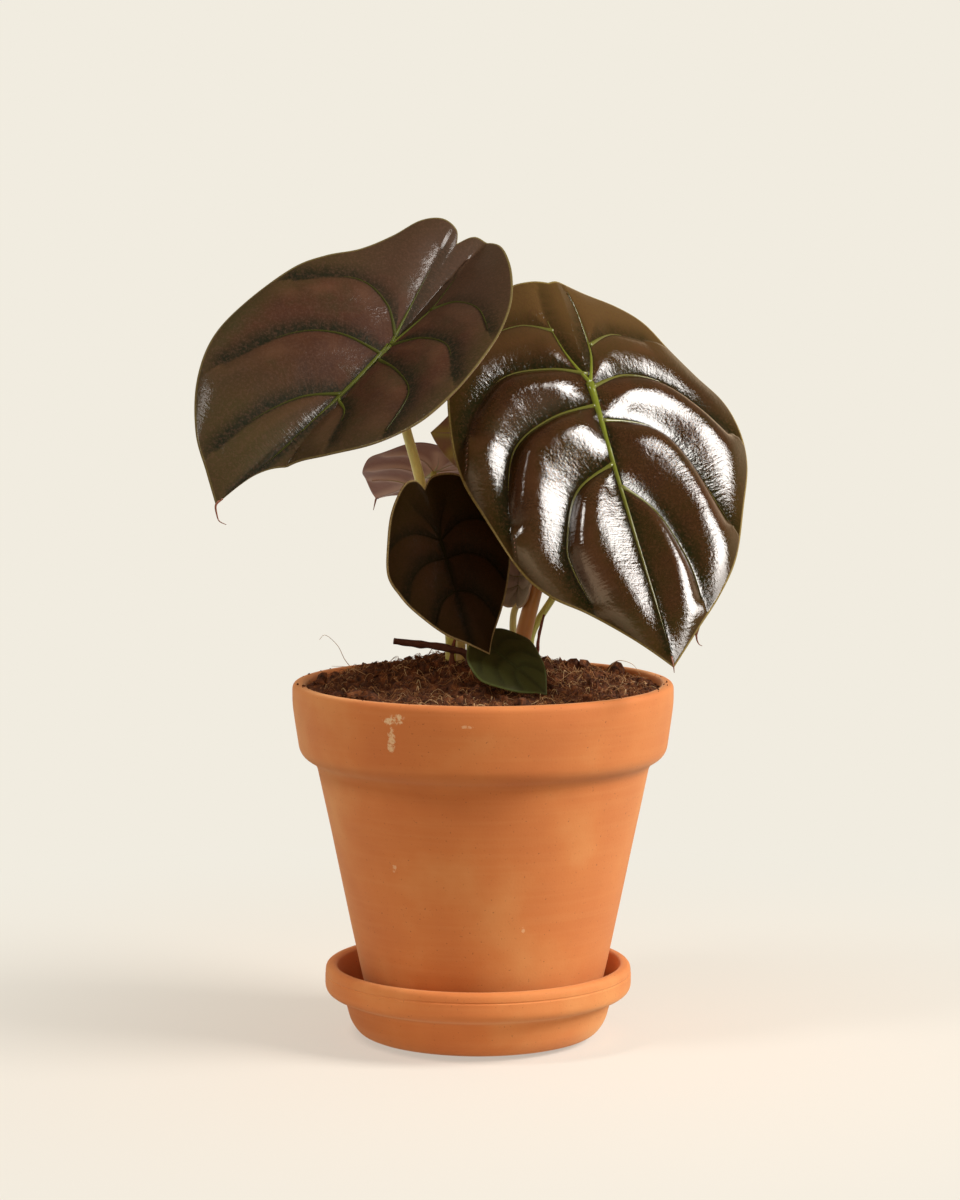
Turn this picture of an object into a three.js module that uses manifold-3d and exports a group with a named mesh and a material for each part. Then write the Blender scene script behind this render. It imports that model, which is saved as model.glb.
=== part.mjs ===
// Potted red secret alocasia: a small aroid with eight leaves, in a terracotta pot on its saucer.
// Millimetres, +Z up, the front towards -Y. The origin is the middle of the saucer's flat underside.

import * as THREE from 'three';
import { mergeVertices } from 'three/addons/utils/BufferGeometryUtils.js';
import Module from 'manifold-3d';

const wasm = await Module();
wasm.setup();

// Driving dimensions

const clearance = 0.3; // between a piece and the neighbour that holds it

const saucer = {
  sides: 40,
  footRadius: 41.5,
  lipUnderRadius: 53,
  lipUnderHeight: 16,
  lipRadius: 60.5,
  lipWidth: 4.5,
  height: 29.5,
  floor: 6,
  floorRadius: 50,
};

const pot = {
  sides: 40,
  axisX: 2, // the pot stands a little right of the saucer's middle
  footRadius: 44,
  neckRadius: 65.7,
  neckHeight: 109.5,
  bandFootRadius: 72.2,
  bandFootHeight: 113.5,
  rimRadius: 75,
  rimInnerRadius: 70,
  rimHeight: 141.5,
  wall: 5.6,
  floor: 6,
  floorRounding: 3,
  drainRadius: 9,
};

const soil = {
  sides: 44,
  rings: 8,
  edgeHeight: 139,
  mound: 10,
  moundSpreadX: 52,
  moundSpreadY: 35,
  moundX: -2,
  moundY: 10,
  moundPower: 2.5,
  lump: 0.7,
  lumpLength: 13,
  facetSlack: 0.2, // its flats and the pot wall's don't line up
};

const stemSink = 11; // how deep a stem stands in the soil
const stemHoleSides = 10;
const stemNeck = 4; // radii over which a petiole's top turns square to its blade
const bladeThickness = 1;
const edgeWaves = 7; // round a blade
const ringCrowding = 0.85; // below 1, a blade's rings lie closer towards the margin
const pillowFade = 3; // how sharply the pillows flatten at the margin

// A blade is drawn flat first: v runs along the midrib towards the tip, u across it, and the petiole
// meets it at 0, 0. Each half of the outline runs from the notch between the lobes to the tip.
// Angles that place a blade are degrees, and angles that bend it are radians over its whole length.

const heartHalf = [
  [0, -0.22], [0.05, -0.28], [0.14, -0.285], [0.25, -0.22], [0.34, -0.1], [0.385, 0.07],
  [0.36, 0.22], [0.29, 0.38], [0.19, 0.52], [0.09, 0.63], [0, 0.72],
];
const heartVeinHalf = [
  [[0, 0], [0.03, -0.1], [0.09, -0.2]],
  [[0, 0], [0.13, -0.07], [0.25, -0.05], [0.33, 0.03]],
  [[0, 0.1], [0.12, 0.1], [0.22, 0.17], [0.28, 0.3]],
  [[0, 0.28], [0.08, 0.31], [0.14, 0.39], [0.17, 0.48]],
];

const leaves = {
  left: {
    length: 150, navel: [-34, -18, 273.5], heading: 225, dip: 38, roll: -32,
    tipBend: 0.15, tipCurl: 0.6, baseBend: 0.15, twist: 0,
    fold: [0.35, 0.62], dome: [0.95, 0.6], pillow: 3, veinWidth: 7, edgeWave: 0.5,
    samples: 32, rings: 9, colour: '#3d3226', stem: { foot: 2.6, top: 1.7 },
    halves: [
      [[8, -57], [12, -62], [19, -62], [25, -55], [29, -42], [35, -28], [43, -17], [50, -4], [55, 18],
        [55, 40], [48, 60], [35, 78], [22, 89], [12, 97]],
      [[8, -57], [4, -66], [-8, -65], [-23, -53], [-35, -39], [-43, -25], [-49, -6], [-51, 15],
        [-48, 32], [-42, 43], [-32, 53], [-17, 61], [-2, 67], [7, 78], [12, 97]],
    ],
    veins: [
      [[0, 0], [2, 33], [5, 62], [10, 92]],
      [[0, 0], [6, -27], [11, -50]],
      [[0, 0], [-5, -22], [-2, -44]],
      [[0, -4], [12, -14], [28, -15], [47, 1]],
      [[0, 5], [19, 10], [33, 23], [45, 49]],
      [[2, 30], [13, 42], [21, 61], [25, 81]],
      [[-5, -22], [-15, -27], [-29, -24], [-42, -13]],
      [[0, 0], [-14, -5], [-30, -2], [-45, 14]],
      [[0, 8], [-16, 14], [-31, 25], [-35, 45]],
      [[2, 32], [-8, 39], [-13, 54]],
    ],
    path: [[-10.5, 7, 158], [-15, 4, 185], [-22.7, -2, 221], [-28.4, -8, 243]],
  },
  right: {
    length: 166, navel: [43.3, -8, 259], heading: -62, dip: 56, roll: 2,
    tipBend: 0.1, tipCurl: 0.5, baseBend: 0.4, twist: 0.3,
    fold: [-0.05, -0.05], dome: [1, 1], pillow: 4, veinWidth: 8, edgeWave: 0.8,
    samples: 32, rings: 9, colour: '#4a3a2b', stem: { foot: 3.5, top: 1.9 },
    halves: [
      [[3, -45], [10, -49], [20, -47], [34, -39], [47, -25], [56, -8], [60, 12], [60, 30], [56, 46],
        [48, 71], [39, 84], [27, 94], [12, 109], [0, 122]],
      [[3, -45], [-5, -49], [-17, -46], [-30, -42], [-41, -35], [-49, -23], [-59, -11], [-68, 1],
        [-69, 15], [-64, 35], [-54, 55], [-40, 79], [-27, 95], [-15, 107], [0, 122]],
    ],
    veins: [
      [[0, 0], [1, 40], [1, 80], [0, 118]],
      [[0, 0], [6, -14], [9, -30], [8, -45]],
      [[0, 0], [-5, -14], [-6, -32], [-5, -44]],
      [[8, -25], [20, -29], [32, -27]],
      [[0, -4], [14, -8], [34, -7], [50, 7], [54, 15]],
      [[0, 10], [20, 13], [37, 23], [45, 43], [47, 56]],
      [[1, 36], [18, 45], [27, 64], [28, 75], [24, 93]],
      [[-6, -18], [-20, -25], [-36, -24]],
      [[0, 2], [-20, -5], [-40, -1], [-61, 20]],
      [[0, 17], [-21, 19], [-34, 33], [-43, 64]],
      [[1, 46], [-11, 58], [-18, 79], [-19, 97]],
    ],
    path: [[17.5, 1.5, 157], [22.6, 3, 178], [29, 5, 205], [37, 3, 235]],
  },
  centre: {
    length: 72, navel: [-14.4, -34, 200.1], heading: -32, dip: 70, roll: 42,
    tipBend: 0.1, tipCurl: 0.3, baseBend: 0.2, twist: 0,
    fold: [0.12, 0.12], dome: [0.6, 0.6], pillow: 1.6, veinWidth: 5, edgeWave: 0.5,
    samples: 20, rings: 6, colour: '#241712', stem: { foot: 2, top: 1.3 },
    halves: [
      [[0, -21], [3, -25], [8, -24], [15, -16], [20, -6], [24, 7], [22, 16], [18, 24], [9, 35], [0, 42],
        [-6, 47]],
      [[0, -21], [-5, -25], [-14, -23], [-21, -14], [-25, 0], [-25, 12], [-21, 22], [-15, 32],
        [-9, 41], [-6, 47]],
    ],
    path: [[-6.8, 1, 160], [-8, -5, 174], [-11, -17, 190]],
  },
  back: {
    length: 66, navel: [-17.7, 32, 222], heading: 125, dip: 24, roll: 20,
    tipBend: -0.5, tipCurl: 1, baseBend: 0, twist: 0,
    fold: [0.26, 0.17], dome: [0.6, 0.8], pillow: 1.4, veinWidth: 4, edgeWave: 0.5,
    samples: 18, rings: 5, colour: '#6b4a44', stem: { foot: 1.7, top: 1.2 },
    path: [[-9, 17.5, 160], [-11, 22, 185], [-15, 29, 206]],
  },
  hidden: {
    length: 54, navel: [14, 15, 237], heading: -152, dip: -6, roll: 69,
    tipBend: 0.2, tipCurl: 0.4, baseBend: 0.2, twist: 0,
    fold: [0.15, 0.15], dome: [0.6, 0.6], pillow: 1.4, veinWidth: 4, edgeWave: 0.5,
    samples: 18, rings: 5, colour: '#5a3f2c', stem: { foot: 1.7, top: 1.2 },
    path: [[-3, 13, 160], [-1, 12, 185], [5, 10, 215]],
  },
  rear: {
    length: 98, navel: [65, 36, 222], heading: -19, dip: 65, roll: -38,
    tipBend: 0.2, tipCurl: 0.4, baseBend: 0.2, twist: 0,
    fold: [0.1, 0.1], dome: [0.7, 0.7], pillow: 2.4, veinWidth: 6, edgeWave: 0.8,
    samples: 22, rings: 6, colour: '#40332a', stem: { foot: 1.6, top: 1.2 },
    path: [[21, 11, 158], [29, 14.5, 172], [42, 22, 190], [54, 31, 207]],
  },
  bud: {
    length: 32, navel: [16, 6, 179], heading: 59, dip: -76, roll: 3,
    tipBend: 0.1, tipCurl: 0.3, baseBend: 0.2, twist: 0,
    fold: [0.7, 0.7], dome: [0.4, 0.4], pillow: 0.8, veinWidth: 3, edgeWave: 0.3,
    samples: 14, rings: 4, colour: '#6f6160', stem: { foot: 1.6, top: 1.2 },
    path: [[13.8, 8.2, 158], [14.2, 8, 168]],
  },
  low: {
    length: 33, navel: [8, -30.5, 155.4], heading: -24, dip: 34, roll: 30,
    tipBend: 0.1, tipCurl: 0.3, baseBend: 0.2, twist: 0,
    fold: [0.1, 0.1], dome: [0.6, 0.6], pillow: 0.5, veinWidth: 3, edgeWave: 0.3,
    samples: 14, rings: 4, colour: '#3a4020', stem: { foot: 1.5, top: 1.1 },
    path: [[10.5, -15, 151.5], [10.2, -22, 154]],
  },
};

// Dead pieces of the plant that stand or lie at its foot: each path's first point is in the soil.
const dryPieces = {
  dry_root: {
    foot: 1.2, top: 1, colour: '#3b1d17',
    path: [[-3.6, -4.5, 152], [-8, -5, 154.2], [-20, -6, 156.6], [-33, -8, 158.4]],
  },
  dry_sheath: { foot: 1.7, top: 0.5, colour: '#8c4a2c', path: [[-10.3, -2.6, 152], [-9, -2.8, 159]] },
  dry_strand: { foot: 0.8, top: 0.5, colour: '#43211a', path: [[23.6, 6.5, 156], [26, 7.5, 167]] },
};
const drySink = 9;

const colours = { terracotta: '#b06a3c', soil: '#2f1f16', petiole: '#9aa352' };

// Helpers

function material(colour, roughness, metalness = 0) {
  return new THREE.MeshStandardMaterial({ color: colour, roughness, metalness });
}

function closedGeometry(points, triangles) {
  const geometry = new THREE.BufferGeometry().setFromPoints(points);
  geometry.setIndex(triangles);
  return geometry;
}

function radians(degrees) {
  return (degrees * Math.PI) / 180;
}

// Corners are [radius, height, rounding]; each is rounded by a curve that starts and ends that far from it.
function roundedProfile(corners, closed) {
  const points = [];
  const bendSteps = 2;
  corners.forEach(([radius, height, rounding], i) => {
    const corner = new THREE.Vector2(radius, height);
    if (!rounding) {
      points.push(corner);
      return;
    }
    const towards = (other) => {
      const [otherRadius, otherHeight] = corners[(other + corners.length) % corners.length];
      const line = new THREE.Vector2(otherRadius, otherHeight).sub(corner);
      return corner.clone().add(line.setLength(rounding));
    };
    const curve = new THREE.QuadraticBezierCurve(towards(i - 1), corner, towards(i + 1));
    points.push(...curve.getPoints(bendSteps));
  });
  if (closed) points.push(points[0].clone());
  return points;
}

// A turned piece, its axis along Z.
function turned(profile, sides) {
  return new THREE.LatheGeometry(profile, sides).rotateX(Math.PI / 2);
}

function toSolid(geometry) {
  const bare = geometry.clone();
  bare.deleteAttribute('normal');
  bare.deleteAttribute('uv');
  const merged = mergeVertices(bare);
  return new wasm.Manifold(new wasm.Mesh({
    numProp: 3,
    vertProperties: Float32Array.from(merged.attributes.position.array),
    triVerts: Uint32Array.from(merged.index.array),
  }));
}

function fromSolid(solid) {
  const mesh = solid.getMesh();
  const geometry = new THREE.BufferGeometry();
  geometry.setAttribute('position', new THREE.BufferAttribute(mesh.vertProperties, mesh.numProp));
  geometry.setIndex(Array.from(mesh.triVerts));
  return geometry;
}

// A round stem along a smooth path, its radius going evenly from the foot to the top.
function stemGeometry(path, footRadius, topRadius, sides, steps) {
  const curve = new THREE.CatmullRomCurve3(path, false, 'centripetal');
  const frames = curve.computeFrenetFrames(steps, false);
  const points = [];
  for (let i = 0; i <= steps; i++) {
    const centre = curve.getPointAt(i / steps);
    const radius = THREE.MathUtils.lerp(footRadius, topRadius, i / steps);
    for (let j = 0; j < sides; j++) {
      const turn = (2 * Math.PI * j) / sides;
      points.push(centre.clone()
        .addScaledVector(frames.normals[i], radius * Math.cos(turn))
        .addScaledVector(frames.binormals[i], radius * Math.sin(turn)));
    }
  }
  const triangles = [];
  for (let i = 0; i < steps; i++) {
    for (let j = 0; j < sides; j++) {
      const a = i * sides + j;
      const b = i * sides + ((j + 1) % sides);
      triangles.push(a, b, b + sides, a, b + sides, a + sides);
    }
  }
  const last = steps * sides;
  for (let j = 1; j < sides - 1; j++) {
    triangles.push(0, j + 1, j, last, last + j, last + j + 1);
  }
  return closedGeometry(points, triangles);
}

// Pot and saucer

function saucerGeometry() {
  const lipFoot = saucer.lipUnderHeight + 3;
  return turned(roundedProfile([
    [0, 0, 0],
    [saucer.footRadius, 0, 2],
    [saucer.lipUnderRadius - 1, saucer.lipUnderHeight - 7, 5],
    [saucer.lipUnderRadius, saucer.lipUnderHeight, 1],
    [saucer.lipRadius, lipFoot, 2.5],
    [saucer.lipRadius, saucer.height, 2.5],
    [saucer.lipRadius - saucer.lipWidth, saucer.height, 1.5],
    [saucer.floorRadius, saucer.floor, 4],
    [0, saucer.floor, 0],
  ], false), saucer.sides);
}

// The pot's inner wall is straight from the floor to the rim.
function potInnerRadius(height) {
  const floorHeight = saucer.floor + pot.floor;
  const share = (height - floorHeight) / (pot.rimHeight - floorHeight);
  return THREE.MathUtils.lerp(pot.footRadius - pot.wall, pot.rimInnerRadius, share);
}

function potGeometry() {
  const floorHeight = saucer.floor + pot.floor;
  return turned(roundedProfile([
    [pot.drainRadius, saucer.floor, 0],
    [pot.footRadius, saucer.floor, 1.5],
    [pot.neckRadius, pot.neckHeight, 2],
    [pot.bandFootRadius, pot.bandFootHeight, 3],
    [pot.rimRadius, pot.rimHeight - 8, 3],
    [pot.rimRadius, pot.rimHeight, 2.4],
    [pot.rimInnerRadius, pot.rimHeight, 1.6],
    [pot.footRadius - pot.wall, floorHeight, pot.floorRounding],
    [pot.drainRadius, floorHeight, 0],
  ], true), pot.sides);
}

// Soil: a mound, highest at the plant's foot, with low lumps that fade out at the wall.

function soilHeight(x, y) {
  const fromMound = Math.hypot(
    (x - soil.moundX) / soil.moundSpreadX,
    (y - soil.moundY) / soil.moundSpreadY,
  );
  const mound = soil.mound * Math.exp(-(fromMound ** soil.moundPower));
  const wall = potInnerRadius(soil.edgeHeight);
  const inside = Math.max(0, 1 - (Math.hypot(x - pot.axisX, y) / wall) ** 4);
  const k = (2 * Math.PI) / soil.lumpLength;
  const lumps = Math.sin(k * x + 1) * Math.sin(k * y) + Math.sin(k * (0.6 * x - 0.7 * y) + 2);
  return soil.edgeHeight + (mound + soil.lump * lumps) * inside;
}

function soilGeometry() {
  const floorHeight = saucer.floor + pot.floor;
  const { sides, rings } = soil;
  const topRadius = potInnerRadius(soil.edgeHeight) - clearance - soil.facetSlack;
  const bottomRadius = potInnerRadius(floorHeight) - 2 * clearance - pot.floorRounding;
  const ring = (radius, heightAt) => Array.from({ length: sides }, (_, j) => {
    const turn = (2 * Math.PI * j) / sides;
    const x = pot.axisX + radius * Math.cos(turn);
    const y = radius * Math.sin(turn);
    return new THREE.Vector3(x, y, heightAt(x, y));
  });
  const points = [new THREE.Vector3(pot.axisX, 0, soilHeight(pot.axisX, 0))];
  for (let i = 1; i <= rings; i++) points.push(...ring((topRadius * i) / rings, soilHeight));
  points.push(...ring(bottomRadius + pot.floorRounding, () => floorHeight + pot.floorRounding));
  points.push(...ring(bottomRadius, () => floorHeight));
  points.push(new THREE.Vector3(pot.axisX, 0, floorHeight));
  const triangles = [];
  for (let j = 0; j < sides; j++) {
    const next = (j + 1) % sides;
    triangles.push(0, 1 + j, 1 + next);
    for (let i = 0; i <= rings; i++) {
      const a = 1 + i * sides + j;
      const b = 1 + i * sides + next;
      triangles.push(a, a + sides, b + sides, a, b + sides, b);
    }
    const bottom = 1 + (rings + 1) * sides;
    triangles.push(bottom + j, points.length - 1, bottom + next);
  }
  return closedGeometry(points, triangles);
}

// A stem's foot stands upright in the soil below the first point of its path.
function rootedPath(path, sink) {
  const [x, y] = path[0];
  const surface = soilHeight(x, y);
  const foot = [[x, y, surface - sink], [x, y, surface - sink / 2], [x, y, surface]];
  return [...foot, ...path].map((point) => new THREE.Vector3(...point));
}

function stemHole(path, radius, sink) {
  const [x, y] = path[0];
  const above = 20;
  const bottom = soilHeight(x, y) - sink - clearance;
  const holeRadius = (radius + clearance + 0.1) / Math.cos(Math.PI / stemHoleSides);
  const hole = new THREE.CylinderGeometry(holeRadius, holeRadius, sink + above, stemHoleSides);
  hole.rotateX(Math.PI / 2).translate(x, y, bottom + (sink + above) / 2);
  return toSolid(hole);
}

// Leaves

function heartOutline(length) {
  return [1, -1].map((side) => heartHalf.map(([u, v]) => [side * u * length, v * length]));
}

function heartVeins(length) {
  const midrib = [[0, 0], [0, 0.35 * length], [0, 0.7 * length]];
  const side = (sign) => heartVeinHalf.map((vein) => vein.map(([u, v]) => [sign * u * length, v * length]));
  return [midrib, ...side(1), ...side(-1)];
}

function nearestVein(u, v, veins) {
  const here = new THREE.Vector2(u, v);
  let nearest = Infinity;
  for (const vein of veins) {
    for (let i = 1; i < vein.length; i++) {
      const a = vein[i - 1];
      const along = vein[i].clone().sub(a);
      const share = THREE.MathUtils.clamp(here.clone().sub(a).dot(along) / along.lengthSq(), 0, 1);
      nearest = Math.min(nearest, here.distanceTo(along.multiplyScalar(share).add(a)));
    }
  }
  return nearest;
}

// The midrib turns down by bend * s + curl * s^4, where s is the way along it over the leaf's length.
function alongMidrib(distance, length, bend, curl) {
  const steps = 24;
  const angleAt = (s) => bend * s + curl * s ** 4;
  const stride = distance / steps;
  let ahead = 0;
  let down = 0;
  for (let i = 0; i < steps; i++) {
    const angle = angleAt(((i + 0.5) * stride) / length);
    ahead += Math.cos(angle) * stride;
    down += Math.sin(angle) * stride;
  }
  return { ahead, down, angle: angleAt(distance / length) };
}

// Takes a point of the flat blade, h above it, to the bent one: each half leaves the midrib at its fold
// angle and droops by dome / length for each millimetre, and the blade turns about the midrib by twist.
function bentPoint(u, v, h, leaf) {
  const towardsTip = v >= 0;
  const rib = towardsTip
    ? alongMidrib(v, leaf.length, leaf.tipBend, leaf.tipCurl)
    : alongMidrib(-v, leaf.length, leaf.baseBend, 0);
  const slope = towardsTip ? -rib.angle : rib.angle;
  const half = u >= 0 ? 0 : 1;
  const side = u >= 0 ? 1 : -1;
  const fold = leaf.fold[half];
  const droop = leaf.dome[half] / leaf.length;
  const tilt = fold - droop * Math.abs(u);
  const across = side * ((Math.sin(fold) - Math.sin(tilt)) / droop - h * Math.sin(tilt));
  const lift = (Math.cos(tilt) - Math.cos(fold)) / droop + h * Math.cos(tilt);
  const turn = (leaf.twist * v) / leaf.length;
  const x = across * Math.cos(turn) + lift * Math.sin(turn);
  const rise = lift * Math.cos(turn) - across * Math.sin(turn);
  const y = (towardsTip ? rib.ahead : -rib.ahead) - rise * Math.sin(slope);
  return new THREE.Vector3(x, y, -rib.down + rise * Math.cos(slope));
}

// Rings of the outline, drawn in towards the navel. The blade swells between its veins into pillows
// that fade at the margin, and the margin waves a little.
function bladeGeometry(leaf) {
  const outline = (leaf.halves ?? heartOutline(leaf.length)).map((half) => {
    const curve = new THREE.SplineCurve(half.map(([u, v]) => new THREE.Vector2(u, v)));
    return curve.getSpacedPoints(leaf.samples);
  });
  const loop = [...outline[0].slice(0, -1), ...outline[1].slice(1).reverse()];
  const veins = (leaf.veins ?? heartVeins(leaf.length))
    .map((vein) => new THREE.SplineCurve(vein.map(([u, v]) => new THREE.Vector2(u, v))).getPoints(8));
  const relief = (u, v, share, turn) => {
    const fromVein = nearestVein(u, v, veins) / leaf.veinWidth;
    const swell = leaf.pillow * (1 - Math.exp(-(fromVein ** 2))) * (1 - share ** pillowFade);
    return swell + leaf.edgeWave * share ** 3 * Math.sin(edgeWaves * turn);
  };
  const faces = [bladeThickness / 2, -bladeThickness / 2].map((offset) => {
    const points = [bentPoint(0, 0, offset, leaf)];
    for (let i = 1; i <= leaf.rings; i++) {
      const share = (i / leaf.rings) ** ringCrowding;
      loop.forEach((edge, j) => {
        const turn = (2 * Math.PI * j) / loop.length;
        const [u, v] = [edge.x * share, edge.y * share];
        points.push(bentPoint(u, v, relief(u, v, share, turn) + offset, leaf));
      });
    }
    return points;
  });
  const count = loop.length;
  const under = faces[0].length;
  const triangles = [];
  const both = (a, b, c) => triangles.push(a, b, c, under + a, under + c, under + b);
  for (let j = 0; j < count; j++) {
    const next = (j + 1) % count;
    both(0, 1 + j, 1 + next);
    for (let i = 0; i < leaf.rings - 1; i++) {
      const a = 1 + i * count + j;
      const b = 1 + i * count + next;
      both(a, a + count, b + count);
      both(a, b + count, b);
    }
    const a = 1 + (leaf.rings - 1) * count + j;
    const b = 1 + (leaf.rings - 1) * count + next;
    triangles.push(a, a + under, b + under, a, b + under, b);
  }
  return closedGeometry([...faces[0], ...faces[1]], triangles);
}

// The blade's own axes: side across it, tip along the midrib, up out of its upper face.
function bladeAxes(leaf) {
  const heading = radians(leaf.heading);
  const dip = radians(leaf.dip);
  const tip = new THREE.Vector3(
    Math.cos(heading) * Math.cos(dip),
    Math.sin(heading) * Math.cos(dip),
    -Math.sin(dip),
  );
  const side = new THREE.Vector3(Math.sin(heading), -Math.cos(heading), 0);
  side.applyAxisAngle(tip, radians(leaf.roll));
  return { side, tip, up: side.clone().cross(tip) };
}

// The petiole ends square under the blade's navel.
function petioleGeometry(leaf) {
  const sides = 8;
  const steps = 11;
  const { up } = bladeAxes(leaf);
  const navel = new THREE.Vector3(...leaf.navel);
  const below = (distance) => navel.clone().addScaledVector(up, -distance);
  const seat = bladeThickness / 2 + clearance;
  const foot = rootedPath(leaf.path, stemSink);
  const path = [...foot, below(seat + stemNeck * leaf.stem.top), below(seat)];
  return stemGeometry(path, leaf.stem.foot, leaf.stem.top, sides, steps);
}

// Assembly

const plant = new THREE.Group();

function add(name, geometry, finish) {
  const mesh = new THREE.Mesh(geometry, finish);
  mesh.name = name;
  plant.add(mesh);
  return mesh;
}

const terracotta = material(colours.terracotta, 0.9);
add('saucer', saucerGeometry(), terracotta);
add('pot', potGeometry(), terracotta.clone()).position.x = pot.axisX;

let bed = toSolid(soilGeometry());
for (const leaf of Object.values(leaves)) {
  bed = bed.subtract(stemHole(leaf.path, leaf.stem.foot, stemSink));
}
for (const piece of Object.values(dryPieces)) {
  bed = bed.subtract(stemHole(piece.path, piece.foot, drySink));
}
add('soil', fromSolid(bed), material(colours.soil, 1));

for (const [name, leaf] of Object.entries(leaves)) {
  const blade = add(`leaf_${name}`, bladeGeometry(leaf), material(leaf.colour, 0.4, 0.3));
  const { side, tip, up } = bladeAxes(leaf);
  blade.quaternion.setFromRotationMatrix(new THREE.Matrix4().makeBasis(side, tip, up));
  blade.position.set(...leaf.navel);
  add(`petiole_${name}`, petioleGeometry(leaf), material(colours.petiole, 0.5));
}

for (const [name, piece] of Object.entries(dryPieces)) {
  const path = rootedPath(piece.path, drySink);
  add(name, stemGeometry(path, piece.foot, piece.top, 7, 10), material(piece.colour, 0.9));
}

export default plant;
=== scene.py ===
# Potted red secret alocasia: the looks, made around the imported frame.
# Shapes are worked out in millimetres in the frame's own axes and go into the meshes in metres.
import math
from functools import partial

import bpy
import numpy as np
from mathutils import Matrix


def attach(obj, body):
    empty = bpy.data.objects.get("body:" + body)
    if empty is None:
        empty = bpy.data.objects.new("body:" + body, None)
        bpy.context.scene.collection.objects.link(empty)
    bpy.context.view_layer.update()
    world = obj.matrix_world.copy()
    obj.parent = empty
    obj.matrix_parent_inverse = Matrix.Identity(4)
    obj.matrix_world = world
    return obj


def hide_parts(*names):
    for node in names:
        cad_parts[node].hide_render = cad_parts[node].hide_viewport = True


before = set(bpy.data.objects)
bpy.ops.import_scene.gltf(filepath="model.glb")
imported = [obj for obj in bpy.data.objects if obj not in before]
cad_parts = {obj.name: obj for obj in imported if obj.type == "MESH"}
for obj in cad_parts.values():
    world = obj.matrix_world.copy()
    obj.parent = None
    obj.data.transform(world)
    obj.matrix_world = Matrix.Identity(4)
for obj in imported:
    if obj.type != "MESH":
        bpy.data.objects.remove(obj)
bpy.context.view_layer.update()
mm = 0.001
print("frame:", len(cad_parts), "nodes")


# Camera

cameraView = {
    "place": (0.7, -1365.4, 321.4),  # mm
    "lookDown": 6.177,  # degrees below level
    "lens": 104.95,  # mm on a 36 mm long side
}


def setCamera():
    data = bpy.data.cameras.new("photoCamera")
    data.lens = cameraView["lens"]
    data.sensor_width = 36
    data.clip_start, data.clip_end = 0.05, 60
    camera = bpy.data.objects.new("photoCamera", data)
    camera.location = [x * mm for x in cameraView["place"]]
    camera.rotation_euler = (math.radians(90 - cameraView["lookDown"]), 0, 0)
    bpy.context.scene.collection.objects.link(camera)
    bpy.context.scene.camera = camera


setCamera()
print("camera set")


# Curves and grids

# Smooth curve through points. Between two of them it is the cubic with their tangents, which are the
# Catmull-Rom ones for knots a distance ** power apart; power 0 is the even curve, 0.5 the centripetal.
def splineThrough(points, perSpan=24, power=0.0):
    p = np.asarray(points, float)
    if power:
        padded = np.vstack([2 * p[:1] - p[1:2], p, 2 * p[-1:] - p[-2:-1]])
    else:
        padded = np.vstack([p[:1], p, p[-1:]])
    p0, p1, p2, p3 = padded[:-3], padded[1:-2], padded[2:-1], padded[3:]
    gap = [np.linalg.norm(b - a, axis=1)[:, None] ** power for a, b in ((p0, p1), (p1, p2), (p2, p3))]
    before = ((p1 - p0) / gap[0] - (p2 - p0) / (gap[0] + gap[1]) + (p2 - p1) / gap[1]) * gap[1]
    after = ((p2 - p1) / gap[1] - (p3 - p1) / (gap[1] + gap[2]) + (p3 - p2) / gap[2]) * gap[1]
    t = np.linspace(0, 1, perSpan, endpoint=False)[:, None, None]
    curve = (
        (2 * t**3 - 3 * t**2 + 1) * p1
        + (t**3 - 2 * t**2 + t) * before
        + (3 * t**2 - 2 * t**3) * p2
        + (t**3 - t**2) * after
    )
    return np.vstack([curve.transpose(1, 0, 2).reshape(-1, p.shape[1]), p[-1:]])


# Points at equal steps along a line.
def evenly(line, count):
    strides = np.linalg.norm(np.diff(line, axis=0), axis=1)
    travelled = np.concatenate([[0], np.cumsum(strides)])
    at = np.linspace(0, travelled[-1], count)
    return np.stack([np.interp(at, travelled, column) for column in line.T], axis=1)


# 0 below start, 1 above end, and a smooth S between.
def smoothStep(x, start, end):
    t = np.clip((x - start) / (end - start), 0, 1)
    return t * t * (3 - 2 * t)


# Smooth random lumps from -1 to 1: a random number at each corner of a lattice of the given size,
# blended across each cell with the S curve.
def lumps(points, size, seed):
    p = np.asarray(points, float) / size + 1000
    cell = np.floor(p).astype(np.int64)
    f = p - cell
    f = f * f * (3 - 2 * f)
    total = np.zeros(p.shape[:-1])
    for corner in np.ndindex(*(2,) * p.shape[-1]):
        at = cell + np.array(corner)
        mixed = seed * 374761393
        for k, prime in zip(range(p.shape[-1]), (73856093, 19349663, 83492791)):
            mixed = mixed ^ (at[..., k] * prime)
        mixed = (mixed ^ (mixed >> 13)) * 1274126177 & 0x7FFFFFFF
        mixed = (mixed ^ (mixed >> 15)) & 0xFFFF
        weight = np.prod(np.where(np.array(corner) == 1, f, 1 - f), axis=-1)
        total += weight * (mixed / 32767.5 - 1)
    return total


# Quads between neighbouring rows of a grid whose columns close on themselves.
def ringQuads(rows, columns):
    i, j = np.meshgrid(np.arange(rows - 1), np.arange(columns), indexing="ij")
    a = (i * columns + j).ravel()
    b = (i * columns + (j + 1) % columns).ravel()
    return np.stack([a, b, b + columns, a + columns], axis=1)


# A closed skin over rings of points: quads between rings, and a fan to a pole at each end.
def skinOver(rings, firstPole, lastPole):
    rows, columns = rings.shape[:2]
    points = np.vstack([rings.reshape(-1, 3), [firstPole, lastPole]])
    j = np.arange(columns)
    following = (j + 1) % columns
    last = (rows - 1) * columns
    start = np.stack([np.full(columns, rows * columns), following, j], axis=1)
    end = np.stack([np.full(columns, rows * columns + 1), last + j, last + following], axis=1)
    return points, [*ringQuads(rows, columns).tolist(), *start.tolist(), *end.tolist()]


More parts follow.
